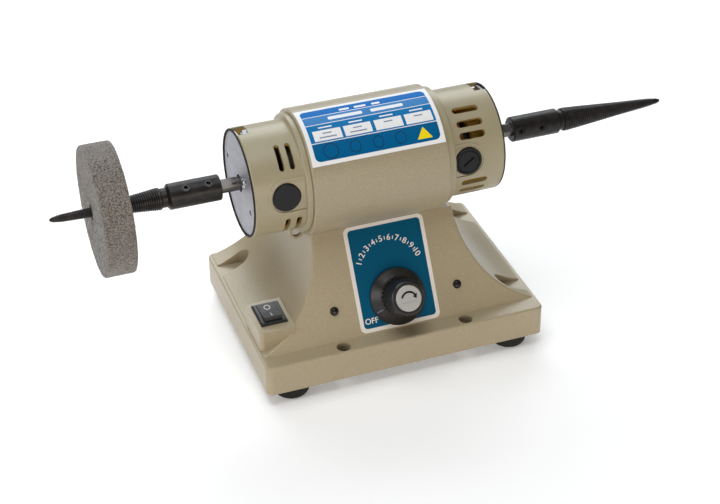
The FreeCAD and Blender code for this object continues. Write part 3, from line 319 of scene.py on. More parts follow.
def powder_coat(name, colour, peel, flake_share):
    material = finish(name, colour, 0.42, 0.0, coat_weight=0.35, coat_roughness=0.3)
    pale = tuple(min(1.0, part * 1.07) for part in colour)
    deep = tuple(part * 0.95 for part in colour)
    tone = blend_colours(material, spread(material, cloud(material, 900, 4.0), 0, 1), deep, pale)
    wide = spread(material, cloud(material, 24, 3.0), 0.0, 0.3)
    tone = blend_colours(material, wide, tone, tuple(part * 0.93 for part in colour))
    chance = add_node(material, "ShaderNodeSeparateColor")
    wire(material, cells(material, 3200, output="Color"), chance.inputs["Color"])
    flake = add_node(material, "ShaderNodeMath", operation="GREATER_THAN")
    wire(material, chance.outputs[0], flake.inputs[0])
    flake.inputs[1].default_value = 1 - flake_share
    tone = blend_colours(material, flake.outputs[0], tone, (0.47, 0.4, 0.28))
    use_colour(material, tone)
    wire(material, spread(material, flake.outputs[0], 0.0, 0.3, 0, 1),
         shader_of(material).inputs["Metallic"])
    use_roughness(material, spread(material, cloud(material, 1300, 2.0), 0.34, 0.5))
    relief(material, cells(material, 1050, "SMOOTH_F1"), 0.00012, peel)
    relief(material, cloud(material, 3200, 2.0), 0.00004, peel)
    return material


casting_paint = powder_coat("casting_paint", CASTING, 0.45, 0.03)
barrel_paint = powder_coat("barrel_paint", (0.35, 0.292, 0.195), 0.45, 0.03)
print("powder coat:", casting_paint.name, barrel_paint.name)

# %% [markdown]
# ## Moulded housings
# The two end housings are plastic in nearly the same cream. Moulded plastic is smoother than
# powder coat and has no sparkle: only a very fine spark-eroded grain and slow changes of tone
# where the melt cooled at different speeds.

# %% The housings' plastic
def moulded(name, colour, roughness, grain=0.25, **extra):
    material = finish(name, colour, roughness, 0.0, **extra)
    worn(material, colour, tuple(part * 0.9 for part in colour), 38.0, 0.5)
    use_roughness(material, spread(material, cloud(material, 700, 3.0),
                                   roughness - 0.05, roughness + 0.07))
    relief(material, cloud(material, 2600, 3.0), 0.00004, grain)
    return material


housing_plastic = moulded("housing_plastic", (0.355, 0.305, 0.195), 0.36, 0.2,
                          specular_ior_level=0.7)

# The inner side of the shell, seen through the vents, is painted amber in its colour: a painted
# glow that stands in for light coming through the plastic.
off_axis = add_node(housing_plastic, "ShaderNodeVectorMath", operation="SUBTRACT")
wire(housing_plastic, place_on(housing_plastic, (0, 1, 1)), off_axis.inputs[0])
off_axis.inputs[1].default_value = (0, spindle_at.y, spindle_at.z)
from_axis = add_node(housing_plastic, "ShaderNodeVectorMath", operation="LENGTH")
wire(housing_plastic, off_axis.outputs[0], from_axis.inputs[0])
SHELL_INSIDE, SHELL_OUTSIDE = 29.2 * MM, 31.3 * MM
inside = spread(housing_plastic, from_axis.outputs["Value"], 1.0, 0.0, SHELL_INSIDE, SHELL_OUTSIDE)
own_tone = shader_of(housing_plastic).inputs["Base Color"].links[0].from_socket
# painted glow: the base colour turns amber towards the shell's inner radius
use_colour(housing_plastic, blend_colours(housing_plastic, inside, own_tone, (0.62, 0.37, 0.06)))
print("housing plastic:", housing_plastic.name)

# %% [markdown]
# ## Metals
# Turned steel keeps rings from the tool, so its pattern is stretched thin along the axis. Plates
# are rolled and plated, with a soft grain one way. Blackened steel is a thin oxide over turned
# rings: almost black, with brown where the oxide is thin.

# %% Steel, plate and black oxide
def bare_metal(name, colour, roughness, stretch, scale, depth=0.00002, strength=0.5):
    material = finish(name, colour, roughness, 1.0)
    lines = cloud(material, scale, 4.0, stretch)
    share = spread(material, lines, 0, 1)
    use_colour(material, blend_colours(material, share, tuple(p * 0.82 for p in colour), colour))
    use_roughness(material, spread(material, cloud(material, scale * 0.3, 2.0, stretch),
                                   max(0.05, roughness - 0.06), roughness + 0.1))
    relief(material, lines, depth, strength)
    return material


ROUND_X = (1.0, 0.04, 0.04)
bright_steel = bare_metal("bright_steel", (0.165, 0.155, 0.148), 0.32, ROUND_X, 2200,
                          0.00001, 0.1)
zinc_plate = bare_metal("zinc_plate", (0.46, 0.47, 0.49), 0.3, (1, 1, 1), 1600, 0.00001, 0.2)
end_disc_metal = bare_metal("end_disc_metal", (0.42, 0.415, 0.45), 0.52, (1, 0.15, 1), 1500,
                            0.00003)
brass = bare_metal("brass", (0.72, 0.5, 0.2), 0.3, (1, 1, 1), 1400)
copper = bare_metal("copper", (0.75, 0.36, 0.2), 0.35, (0.2, 1, 1), 2200)
lamination = bare_metal("lamination", (0.32, 0.31, 0.3), 0.45, (1, 0.02, 0.02), 2000, 0.0001, 1.0)
sheet_steel = bare_metal("sheet_steel", (0.5, 0.5, 0.5), 0.42, (0.1, 1, 1), 1200)

black_oxide = finish("black_oxide", (0.03, 0.028, 0.027), 0.36, 0.35,
                     specular_ior_level=0.35)
thin_oxide = spread(black_oxide, cloud(black_oxide, 260, 5.0), 0.0, 0.3, 0.42, 0.75)
oxide_tone = blend_colours(black_oxide, thin_oxide, (0.016, 0.015, 0.016), (0.08, 0.056, 0.036))
use_colour(black_oxide, oxide_tone)
use_roughness(black_oxide, spread(black_oxide, cloud(black_oxide, 900, 4.0), 0.28, 0.5))
relief(black_oxide, cloud(black_oxide, 4200, 2.0, ROUND_X), 0.00003, 0.7)
relief(black_oxide, cloud(black_oxide, 1500, 4.0), 0.00003, 0.3)
black_screw = finish("black_screw", (0.012, 0.012, 0.012), 0.24, 0.2)
worn(black_screw, (0.008, 0.008, 0.008), (0.03, 0.026, 0.022), 500, 0.5)
relief(black_screw, cloud(black_screw, 2500, 3.0), 0.00003, 0.5)
print("metals:", sum(1 for m in bpy.data.materials if m.users == 0))

# %% [markdown]
# ## Black plastic and rubber
# Knob, switch and caps are satin black plastic with a fine grain. Rubber is greyer, duller and
# dusty, so its roughness is high and a pale cloud lies over it.

# %% Knob, switch, caps and feet
knob_plastic = moulded("knob_plastic", (0.014, 0.013, 0.013), 0.33, 0.5)
switch_plastic = moulded("switch_plastic", (0.018, 0.018, 0.019), 0.38, 0.7)
cap_plastic = moulded("cap_plastic", (0.009, 0.009, 0.011), 0.42, 0.5, specular_ior_level=0.25)
foot_rubber = finish("foot_rubber", (0.014, 0.013, 0.012), 0.72, specular_ior_level=0.25)
worn(foot_rubber, (0.012, 0.011, 0.009), (0.035, 0.031, 0.027), 160, 0.5)
relief(foot_rubber, cloud(foot_rubber, 900, 5.0), 0.0001, 0.5)
fan_plastic = moulded("fan_plastic", (0.03, 0.02, 0.012), 0.5)
carbon_black = moulded("carbon_black", (0.03, 0.03, 0.032), 0.6)
board_laminate = moulded("board_laminate", (0.02, 0.13, 0.05), 0.4)
silver_cap = bare_metal("silver_cap", (0.5, 0.49, 0.48), 0.42, (1, 1, 1), 2600)
shader_of(silver_cap).inputs["Metallic"].default_value = 0.35
print("plastics ready")

# %% [markdown]
# ## Printed films
# The front panel and the plate on the barrel are printed films: flat ink colours under a thin
# clear layer. Ink has a faint screen grain and the film has a slight waviness that breaks up
# long reflections.

# %% Inks
def ink(name, colour, roughness=0.5):
    material = finish(name, colour, roughness, 0.0, specular_ior_level=0.08)
    worn(material, colour, tuple(min(1.0, part * 1.08) for part in colour), 1500, 0.5)
    relief(material, cloud(material, 260, 2.0), 0.00005, 0.25)
    return material


film_white = ink("film_white", (0.78, 0.73, 0.69))
plate_white = ink("plate_white", (0.82, 0.82, 0.84))
panel_teal = ink("panel_teal", (0.0, 0.082, 0.165))
band_top_blue = ink("band_top_blue", (0.0, 0.14, 0.46))
band_middle_blue = ink("band_middle_blue", (0.052, 0.215, 0.50))
band_lower_blue = ink("band_lower_blue", (0.006, 0.165, 0.42))
band_bottom_blue = ink("band_bottom_blue", (0.0, 0.105, 0.27))
mark_black = ink("mark_black", (0.012, 0.012, 0.015))
mark_yellow = ink("mark_yellow", (0.90, 0.70, 0.01))
mark_grey = ink("mark_grey", (0.22, 0.27, 0.36))
print("inks:", [m.name for m in bpy.data.materials if "band" in m.name or "mark" in m.name])

# %% [markdown]
# ## Give each CAD node its finish
# A CAD mesh is never touched, only its material slots. A table from finish to nodes keeps this
# in one place, and a check after it says if a node was forgotten.

# %% Assign finishes to CAD nodes
FINISHES = {
    casting_paint: ["base_casting"],
    barrel_paint: ["motor_barrel"],
    housing_plastic: ["left_end_housing", "right_end_housing"],
    end_disc_metal: ["left_end_plate", "right_end_plate"],
    bright_steel: ["motor_shaft", "bearing_inner_rings", "bearing_outer_rings", "bearing_balls",
                   "potentiometer_shaft"],
    zinc_plate: ["left_end_plate_screws", "right_end_plate_screws", "through_bolts",
                 "through_bolt_nuts", "foot_screws", "board_screws", "potentiometer_nut",
                 "front_brush_spring", "back_brush_spring", "speed_potentiometer", "heat_sink"],
    black_oxide: ["left_adaptor", "right_adaptor", "motor_mount_bolts"],
    black_screw: ["adaptor_set_screws", "panel_screws", "knob_grub_screw"],
    foot_rubber: ["rubber_feet"],
    knob_plastic: ["speed_knob"],
    switch_plastic: ["switch_frame", "rocker"],
    cap_plastic: ["blank_plugs", "brush_caps", "cable_gland", "gland_nut", "triac", "capacitor"],
    film_white: ["front_panel_label"],
    plate_white: ["nameplate"],
    silver_cap: ["knob_cap"],
    brass: ["brush_holders", "switch_terminals", "board_posts"],
    copper: ["commutator", "armature_windings", "field_windings"],
    lamination: ["armature_core", "stator_core"],
    sheet_steel: ["bottom_plate"],
    fan_plastic: ["cooling_fan"],
    carbon_black: ["front_carbon_brush", "back_carbon_brush"],
    board_laminate: ["speed_control_board"],
}


def wear(thing, material):
    thing.data.materials.clear()
    thing.data.materials.append(material)


finished = set()
for material, names in FINISHES.items():
    for name in names:
        wear(nodes[name], material)
        finished.add(name)
print("finished:", len(finished), "left over:", sorted(set(nodes) - finished))

# %% [markdown]
# ## From Geometry Nodes to a plain mesh
# Repeated and path-shaped details are made by Geometry Nodes trees that the script builds. Each
# tree has named inputs for its sizes. A throw-away object runs the tree, the evaluated result is
# copied into a plain mesh, and the mesh is moved into place, so nothing live is left behind.

# %% Helpers that build and run a tree
class Tree:
    """A Geometry Nodes tree with named inputs and short ways to add nodes."""

    def __init__(self, name, **sizes):
        self.group = bpy.data.node_groups.new(name, "GeometryNodeTree")
        face = self.group.interface
        face.new_socket("Geometry", in_out="INPUT", socket_type="NodeSocketGeometry")
        for label, value in sizes.items():
            kind = {int: "NodeSocketInt", float: "NodeSocketFloat"}[type(value)]
            face.new_socket(label.replace("_", " "), in_out="INPUT",
                            socket_type=kind).default_value = value
        face.new_socket("Finish", in_out="INPUT", socket_type="NodeSocketMaterial")
        face.new_socket("Geometry", in_out="OUTPUT", socket_type="NodeSocketGeometry")
        self.inputs = self.group.nodes.new("NodeGroupInput").outputs
        self.output = self.group.nodes.new("NodeGroupOutput")

    def add(self, kind, wires=None, **settings):
        """A node; wires gives its inputs as sockets to link or as plain values."""
        node = self.group.nodes.new(kind)
        for key, value in settings.items():
            setattr(node, key, value)
        for key, value in (wires or {}).items():
            if isinstance(value, bpy.types.NodeSocket):
                self.group.links.new(value, node.inputs[key])
            else:
                node.inputs[key].default_value = value
        return node

    def math(self, operation, first, second=0.0):
        return self.add("ShaderNodeMath", {0: first, 1: second}, operation=operation).outputs[0]

    def end(self, geometry):
        """Every tree ends in Realize Instances and Set Material."""
        real = self.add("GeometryNodeRealizeInstances", {"Geometry": geometry})
        dressed = self.add("GeometryNodeSetMaterial", {
            "Geometry": real.outputs[0], "Material": self.inputs["Finish"]})
        self.group.links.new(dressed.outputs[0], self.output.inputs[0])


def keep_piece(name, mesh, body, place=None):
    """Puts a finished mesh in the scene at the origin, riding on a CAD body."""
    if place is not None:
        mesh.transform(place)
    piece = bpy.data.objects.new(name, mesh)
    bpy.context.scene.collection.objects.link(piece)
    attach(piece, body)
    print(f"{name}: {len(mesh.polygons)} faces")
    return piece


def run_tree(tree, name, sizes, material, start_mesh=None):
    """Runs a tree on a start mesh and returns the result as a plain mesh."""
    helper = bpy.data.objects.new(name + "_helper",
                                  start_mesh or bpy.data.meshes.new(name + "_start"))
    bpy.context.scene.collection.objects.link(helper)
    modifier = helper.modifiers.new("shape", "NODES")
    modifier.node_group = tree.group
    values = {**sizes, "Finish": material}
    for item in tree.group.interface.items_tree:
        if item.in_out == "INPUT" and item.name in values:
            modifier[item.identifier] = values[item.name]
    ready = helper.evaluated_get(bpy.context.evaluated_depsgraph_get())
    mesh = bpy.data.meshes.new_from_object(ready)
    helper.modifiers.remove(modifier)
    bpy.data.objects.remove(helper)
    mesh.name = name
    return mesh


# %% [markdown]
# ## Threads on the two tapers
# A polishing wheel or a felt bob screws itself onto the tapered thread, so the cut runs from the
# sleeve almost to the tip, at one pitch. It could be a texture, but the outline of a thread is
# what the eye sees, so it is real metal: a helix whose radius follows the taper, with a
# four-sided section swept along it. The taper's radius is a curve node, filled from the same
# profile points that the cone has.

# %% The thread tree
THREAD_PITCH = 1.25 * MM
STEPS_A_TURN = 30


def thread_tree(name, profile, length):
    """profile holds (distance along the taper, radius) pairs, both in metres."""
    widest = max(radius for _, radius in profile)
    tree = Tree(name, Turns=10.0, Length=length, Widest_Radius=widest, Cut=0.0005)
    steps = tree.math("MULTIPLY", tree.inputs["Turns"], STEPS_A_TURN)
    line = tree.add("GeometryNodeCurvePrimitiveLine", {"End": (0, 0, 1)})
    points = tree.add("GeometryNodeResampleCurve", {"Curve": line.outputs[0], "Count": steps})
    along = tree.add("GeometryNodeSplineParameter").outputs["Factor"]
    taper = tree.add("ShaderNodeFloatCurve", {"Value": along})
    curve = taper.mapping.curves[0]
    spots = [(at / length, radius / widest) for at, radius in profile]
    curve.points[0].location, curve.points[1].location = spots[0], spots[-1]
    for spot in spots[1:-1]:
        curve.points.new(*spot)
    for point in curve.points:
        point.handle_type = "VECTOR"
    taper.mapping.update()
    radius = tree.math("MULTIPLY", taper.outputs[0], tree.inputs["Widest Radius"])
    angle = tree.math("MULTIPLY", tree.math("MULTIPLY", along, tree.inputs["Turns"]), math.tau)
    spot = tree.add("ShaderNodeCombineXYZ", {
        "X": tree.math("MULTIPLY", tree.math("COSINE", angle), radius),
        "Y": tree.math("MULTIPLY", tree.math("SINE", angle), radius),
        "Z": tree.math("MULTIPLY", along, tree.inputs["Length"])})
    helix = tree.add("GeometryNodeSetPosition", {
        "Geometry": points.outputs[0], "Position": spot.outputs[0]})
    upright = tree.add("GeometryNodeSetCurveNormal", {"Curve": helix.outputs[0]})
    upright.mode = "Z_UP"
    section = tree.add("GeometryNodeCurvePrimitiveCircle", {
        "Resolution": 4, "Radius": tree.inputs["Cut"]})
    run_out = tree.math("MINIMUM", 1.0, tree.math("ADD", 0.15, tree.math(
        "MULTIPLY", tree.math("MULTIPLY", along, tree.math("SUBTRACT", 1.0, along)), 40.0)))
    swept = tree.add("GeometryNodeCurveToMesh", {
        "Curve": upright.outputs[0], "Profile Curve": section.outputs[0], "Fill Caps": True})
    if "Scale" in swept.inputs:
        tree.group.links.new(run_out, swept.inputs["Scale"])
    flat = tree.add("GeometryNodeSetShadeSmooth", {"Geometry": swept.outputs[0],
                                                   "Shade Smooth": False})
    tree.end(flat.outputs[0])
    return tree


def cut_thread(name, start_x, way, profile):
    """A thread from a taper's profile, in millimetres from the sleeve's inner end."""
    first, last = profile[0][0], profile[-1][0]
    length = (last - first) * MM
    sunk = 0.16
    points = [((at - first) * MM, (radius - sunk) * MM) for at, radius in profile]
    tree = thread_tree(name + "_tree", points, length)
    mesh = run_tree(tree, name, {"Turns": length / THREAD_PITCH}, black_oxide)
    return keep_piece(name, mesh, "spindle",
                      on_spindle(start_x + way * first * MM, way))


# %% Cut both threads
left_sleeve_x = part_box("left_adaptor")[1].x
right_sleeve_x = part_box("right_adaptor")[0].x
cut_thread("left_taper_thread", left_sleeve_x, -1,
           [(35.2, 6.4), (49.3, 5.0), (56.4, 4.4), (74.1, 2.75), (91.0, 2.1), (95.4, 1.5)])
cut_thread("right_taper_thread", right_sleeve_x, 1,
           [(34.1, 6.85), (35.6, 6.7), (46.0, 5.9), (60.0, 4.7), (73.0, 3.6), (87.0, 2.6),
            (97.0, 1.65)])

# %% [markdown]
# ## The fibre wheel
# The wheel is pressed from nylon fibre and abrasive grit. Seen close, it is a felt: an uneven
# surface, loose fibre ends, and grains from almost white to nearly black. A turned disc gives
# the shape, a tree presses its surface in by noise and lays short fibres over it, and the
# material speckles it. The surface only goes inwards, so the wheel keeps its size.

# %% A turned disc with fine faces
def turned_mesh(name, outline, steps):
    """Turns a closed outline of (radius, distance) points round Z; the faces point outwards."""
    count = len(outline)
    points = [(radius * math.cos(math.tau * step / steps),
               radius * math.sin(math.tau * step / steps), distance)
              for step in range(steps) for radius, distance in outline]
    faces = []
    for step in range(steps):
        here, there = step * count, (step + 1) % steps * count
        for k in range(count):
            after = (k + 1) % count
            faces.append((here + k, there + k, there + after, here + after))
    mesh = bpy.data.meshes.new(name)
    mesh.from_pydata(points, [], faces)
    mesh.update()
    return mesh


def finely(points, step):
    """Adds points along a closed outline so that no side is longer than a step."""
    found = []
    for here, there in zip(points, points[1:] + points[:1]):
        parts = max(1, round(math.dist(here, there) / step))
        found += [tuple(a + (b - a) * k / parts for a, b in zip(here, there))
                  for k in range(parts)]
    return found


wheel_low, wheel_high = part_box("polishing_wheel")
wheel_radius = (wheel_high.z - wheel_low.z) / 2 - 0.45 * MM
wheel_width = wheel_high.x - wheel_low.x - 0.5 * MM
wheel_bore = 4.45 * MM
edge = 1.1 * MM
wheel_outline = [(wheel_bore, 0), (wheel_radius - edge, 0), (wheel_radius - edge * 0.3, edge * 0.3),
                 (wheel_radius, edge), (wheel_radius, wheel_width - edge),
                 (wheel_radius - edge * 0.3, wheel_width - edge * 0.3),
                 (wheel_radius - edge, wheel_width), (wheel_bore, wheel_width)]
wheel_start = turned_mesh("wheel_start", finely(wheel_outline, 1.1 * MM), 300)
print("wheel start faces:", len(wheel_start.polygons))

# %% The felt tree
felt = Tree("felt_tree", Grain_Scale=900.0, Press=0.0005, Fibres_a_Square_Metre=330000.0,
            Fibre_Length=0.0022, Seed=7)
grain = felt.add("ShaderNodeTexNoise", {"Scale": felt.inputs["Grain Scale"], "Detail": 3.0})
press = felt.math("MULTIPLY", felt.math("SUBTRACT", grain.outputs[0], 0.62), felt.inputs["Press"])
facing = felt.add("GeometryNodeInputNormal")
push = felt.add("ShaderNodeVectorMath", {0: facing.outputs[0]}, operation="SCALE")
felt.group.links.new(press, push.inputs["Scale"])
pressed = felt.add("GeometryNodeSetPosition", {
    "Geometry": felt.inputs["Geometry"], "Offset": push.outputs[0]})
spots = felt.add("GeometryNodeDistributePointsOnFaces", {
    "Mesh": pressed.outputs[0], "Density": felt.inputs["Fibres a Square Metre"],
    "Seed": felt.inputs["Seed"]})
fibre = felt.add("GeometryNodeCurveQuadraticBezier", {
    "Resolution": 3, "Start": (-0.5, 0, -0.03), "Middle": (0.1, 0.3, 0.06),
    "End": (0.5, -0.1, -0.03)})
fibre_section = felt.add("GeometryNodeCurvePrimitiveCircle", {"Resolution": 3, "Radius": 0.035})
fibre_mesh = felt.add("GeometryNodeCurveToMesh", {
    "Curve": fibre.outputs[0], "Profile Curve": fibre_section.outputs[0], "Fill Caps": True})
spin = felt.add("FunctionNodeRandomValue", {"Min": 0.0, "Max": math.tau, "Seed": 3},
                data_type="FLOAT")
turned_round = felt.add("FunctionNodeRotateRotation", {
    "Rotation": spots.outputs["Rotation"]}, rotation_space="LOCAL")
about_z = felt.add("FunctionNodeAxisAngleToRotation", {
    "Axis": (0, 0, 1), "Angle": spin.outputs[1]})
felt.group.links.new(about_z.outputs[0], turned_round.inputs["Rotate By"])
laid = felt.add("GeometryNodeInstanceOnPoints", {
    "Points": spots.outputs["Points"], "Instance": fibre_mesh.outputs[0],
    "Rotation": turned_round.outputs[0], "Scale": felt.inputs["Fibre Length"]})
whole = felt.add("GeometryNodeJoinGeometry")
felt.group.links.new(laid.outputs[0], whole.inputs[0])
felt.group.links.new(pressed.outputs[0], whole.inputs[0])
felt.end(whole.outputs[0])
print("felt tree nodes:", len(felt.group.nodes))

# %% [markdown]
# The wheel's colour is a mix at three sizes: grit of half a millimetre in strong contrast,
# clumps of fibre over a few millimetres, and a slow change over the whole wheel. High
# roughness and a little sheen make it look dusty and soft.

# %% Press the wheel and give it its speckle
abrasive = finish("abrasive_fibre", (0.25, 0.24, 0.23), 0.9, 0.0, sheen_weight=0.25,
                  sheen_roughness=0.5)
grit = spread(abrasive, cloud(abrasive, 1300, 2.0), 0.0, 1.0, 0.36, 0.62)
grit_tone = blend_colours(abrasive, grit, (0.016, 0.014, 0.014), (0.33, 0.288, 0.255))
clumps = spread(abrasive, cloud(abrasive, 320, 3.0), 0.0, 0.5, 0.35, 0.65)
clump_tone = blend_colours(abrasive, clumps, grit_tone, (0.215, 0.188, 0.166))
patches = spread(abrasive, cloud(abrasive, 60, 3.0), 0.0, 0.3)
use_colour(abrasive, blend_colours(abrasive, patches, clump_tone, (0.15, 0.14, 0.13)))
relief(abrasive, cloud(abrasive, 1500, 3.0), 0.0004, 0.8)
wheel_mesh = run_tree(felt, "fibre_wheel", {}, abrasive, wheel_start)
wheel = keep_piece("fibre_wheel", wheel_mesh, "spindle",
                   on_spindle(wheel_low.x + 0.25 * MM))
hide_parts("polishing_wheel")

# %% [markdown]
# ## Printed marks on the front panel
# The panel is a white film with a teal field. Text and flat shapes are 2-D curves in Blender:
# they fill themselves, take an exact thickness, and turn into meshes. They are made a mesh
# first and placed after, so every print has its place in its mesh.

# %% Helpers for flat prints
PRINT = 0.03 * MM


def curve_mesh(curve, name, material):
    helper = bpy.data.objects.new(name + "_helper", curve)
    bpy.context.scene.collection.objects.link(helper)
    ready = helper.evaluated_get(bpy.context.evaluated_depsgraph_get())
    mesh = bpy.data.meshes.new_from_object(ready)
    bpy.data.objects.remove(helper)
    mesh.name = name
    mesh.materials.clear()
    mesh.materials.append(material)
    return mesh


def flat_shape(name, outlines, material, thickness=PRINT):
    """Fills closed outlines of (x, y) points in millimetres; an outline inside is a hole."""
    curve = bpy.data.curves.new(name, "CURVE")
    curve.dimensions = "2D"
    curve.fill_mode = "BOTH"
    curve.extrude = thickness / 2
    for outline in outlines:
        spline = curve.splines.new("POLY")
        spline.points.add(len(outline) - 1)
        for point, (x, y) in zip(spline.points, outline):
            point.co = (x * MM, y * MM, 0, 1)
        spline.use_cyclic_u = True
    return curve_mesh(curve, name, material)


def lettering(name, words, height, material, spacing=1.0):
    text = bpy.data.curves.new(name, "FONT")
    text.body = words
    text.size = height * MM / 0.7
    text.align_x, text.align_y = "CENTER", "CENTER"
    text.space_character = spacing
    text.extrude = PRINT / 2
    text.offset = height * MM * 0.018
    text.resolution_u = 4
    return curve_mesh(text, name, material)


def arc_points(radius, start, end, steps, centre=(0, 0)):
    return [(centre[0] + radius * math.cos(math.radians(start + (end - start) * k / steps)),
             centre[1] + radius * math.sin(math.radians(start + (end - start) * k / steps)))
            for k in range(steps + 1)]


def rounded_outline(left, low, right, high, corner, steps=8):
    found = []
    for x, y, start in ((right - corner, high - corner, 0), (left + corner, high - corner, 90),
                        (left + corner, low + corner, 180), (right - corner, low + corner, 270)):
        found += arc_points(corner, start, start + 90, steps, (x, y))
    return found


def band(radius, width, start, end, steps=24, centre=(0, 0)):
    return (arc_points(radius + width / 2, start, end, steps, centre)
            + arc_points(radius - width / 2, end, start, steps, centre))


# %% The teal field
label_low, label_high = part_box("front_panel_label")
slope_up = front_out.cross(ALONG_X)
panel_low = (label_low.z - knob_at.z) / slope_up.z / MM
panel_high = (label_high.z - knob_at.z) / slope_up.z / MM
panel_left = (label_low.x - knob_at.x) / MM
panel_right = (label_high.x - knob_at.x) / MM
FILM = 0.3
BORDER = 2.3
field = flat_shape("panel_field", [
    rounded_outline(panel_left + BORDER, panel_low + BORDER, panel_right - BORDER,
                    panel_high - BORDER, 2.2),
    arc_points(8.0, 0, 351, 39)], panel_teal)
keep_piece("panel_field", field, "machine", on_front(out=(FILM + 0.015) * MM))
print("panel, mm:", round(panel_left, 2), round(panel_low, 2), round(panel_right, 2),
      round(panel_high, 2))

# %% [markdown]
# Speed marks replace any wording: the numbers 1 to 10 on an arc, with a tick between each pair.
# The ticks repeat round an arc, so a small tree instances one bar along it.

# %% The dial's numbers and its ticks
DIAL_RADIUS = 19.3
DIAL_CENTRE = (-1.2, 15.6)
DIAL_START, DIAL_END = 157.0, 23.0
NUMBERS = 10
lift = (FILM + 0.045) * MM
for number in range(NUMBERS):
    angle = DIAL_START + (DIAL_END - DIAL_START) * number / (NUMBERS - 1)
    spot = arc_points(DIAL_RADIUS, angle, angle, 1, DIAL_CENTRE)[0]
    mesh = lettering(f"dial_number_{number + 1}", str(number + 1), 3.5, film_white)
    mesh.transform(Matrix.Rotation(math.radians(angle - 90), 4, "Z"))
    keep_piece(f"dial_number_{number + 1}", mesh, "machine",
               on_front(spot[0] * MM, spot[1] * MM, lift))

ticks = Tree("dial_tick_tree", Count=9, Radius=0.0197, Start=150.0, Sweep=-120.0,
             Bar_Length=0.002, Bar_Width=0.0005, Thickness=PRINT)
row = ticks.add("GeometryNodeMeshLine", {"Count": ticks.inputs["Count"], "Offset": (0, 0, 0)})
index = ticks.add("GeometryNodeInputIndex").outputs[0]
part = ticks.math("DIVIDE", index, ticks.math("SUBTRACT", ticks.inputs["Count"], 1.0))
turn = ticks.math("RADIANS", ticks.math("ADD", ticks.inputs["Start"], ticks.math(
    "MULTIPLY", part, ticks.inputs["Sweep"])))
spot = ticks.add("ShaderNodeCombineXYZ", {
    "X": ticks.math("MULTIPLY", ticks.math("COSINE", turn), ticks.inputs["Radius"]),
    "Y": ticks.math("MULTIPLY", ticks.math("SINE", turn), ticks.inputs["Radius"])})
round_row = ticks.add("GeometryNodeSetPosition", {
    "Geometry": row.outputs[0], "Position": spot.outputs[0]})
bar_size = ticks.add("ShaderNodeCombineXYZ", {
    "X": ticks.inputs["Bar Length"], "Y": ticks.inputs["Bar Width"],
    "Z": ticks.inputs["Thickness"]})
bar = ticks.add("GeometryNodeMeshCube", {"Size": bar_size.outputs[0]})
bar_turn = ticks.add("ShaderNodeCombineXYZ", {"Z": turn})
as_rotation = ticks.add("FunctionNodeEulerToRotation", {"Euler": bar_turn.outputs[0]})
bars = ticks.add("GeometryNodeInstanceOnPoints", {
    "Points": round_row.outputs[0], "Instance": bar.outputs["Mesh"],
    "Rotation": as_rotation.outputs[0]})
ticks.end(bars.outputs[0])
half_step = (DIAL_END - DIAL_START) / (NUMBERS - 1) / 2
tick_mesh = run_tree(ticks, "dial_ticks", {
    "Count": NUMBERS - 1, "Radius": DIAL_RADIUS * MM, "Start": DIAL_START + half_step,
    "Sweep": (DIAL_END - DIAL_START) * (NUMBERS - 2) / (NUMBERS - 1)}, film_white)
keep_piece("dial_ticks", tick_mesh, "machine",
           on_front(DIAL_CENTRE[0] * MM, DIAL_CENTRE[1] * MM, lift))
off_mark = lettering("off_mark", "OFF", 3.3, film_white, 1.0)
keep_piece("off_mark", off_mark, "machine", on_front(-17.8 * MM, -11.2 * MM, lift))

# %% [markdown]
# ## Marks that move with the knob and the switch
# The silver cap carries a curved arrow, the skirt a fine pointer line, and the rocker a ring and
# a bar. Each rides on its own body, so it turns or tips with it.

# %% Arrow and pointer
KNOB_TOP = 22.7
on_cap = on_front(out=KNOB_TOP * MM + PRINT / 2)
ARROW_CENTRE = (0.0, -0.7)
arrow = flat_shape("knob_arrow", [band(4.4, 1.2, 160, 26, 28, ARROW_CENTRE)], mark_black)
keep_piece("knob_arrow", arrow, "speed_control", on_cap)
tip = arc_points(4.4, -2, -2, 1, ARROW_CENTRE)[0]
wings = [arc_points(radius, 30, 30, 1, ARROW_CENTRE)[0] for radius in (2.8, 6.0)]
head = flat_shape("knob_arrow_head", [[tip, wings[1], wings[0]]], mark_black)
keep_piece("knob_arrow_head", head, "speed_control", on_cap)
rule = flat_shape("knob_rule", [rounded_outline(-4.4, -2.3, 4.4, -2.08, 0.1, 3)], mark_grey)
keep_piece("knob_rule", rule, "speed_control", on_cap)
POINTER_ANGLE = 205.0
SKIRT_OUTER, SKIRT_INNER, SKIRT_RISE = 16.35, 12.4, 3.6
POINTER_RADIUS, POINTER_HEIGHT = 14.35, 4.86
skirt_slope = math.atan2(SKIRT_RISE, SKIRT_OUTER - SKIRT_INNER)
pointer = flat_shape("knob_pointer", [rounded_outline(-2.3, -0.17, 2.3, 0.17, 0.15, 3)], mark_grey)
pointer.transform(Matrix.Rotation(math.radians(POINTER_ANGLE), 4, "Z")
                  @ Matrix.Translation((POINTER_RADIUS * MM, 0, POINTER_HEIGHT * MM))
                  @ Matrix.Rotation(skirt_slope, 4, "Y"))
keep_piece("knob_pointer", pointer, "speed_control", on_front())

# %% Ring and bar on the rocker
rocker_at = Vector(joints["rocker_tilt"]["pos_m"])
ROCKER_REST = math.radians(-7)
FACET = math.atan2(1.0, 7.9)
FACET_OUT, FACET_UP = 4.3, 4.46


def on_rocker(side):
    """The middle of one half of the rocker's top: side 1 is the back half, -1 the front."""
    rest = Matrix.Translation(rocker_at) @ Matrix.Rotation(ROCKER_REST, 4, "X")
    facet = Matrix.Translation((0, side * FACET_OUT * MM, FACET_UP * MM))
    return rest @ facet @ Matrix.Rotation(side * FACET, 4, "X")


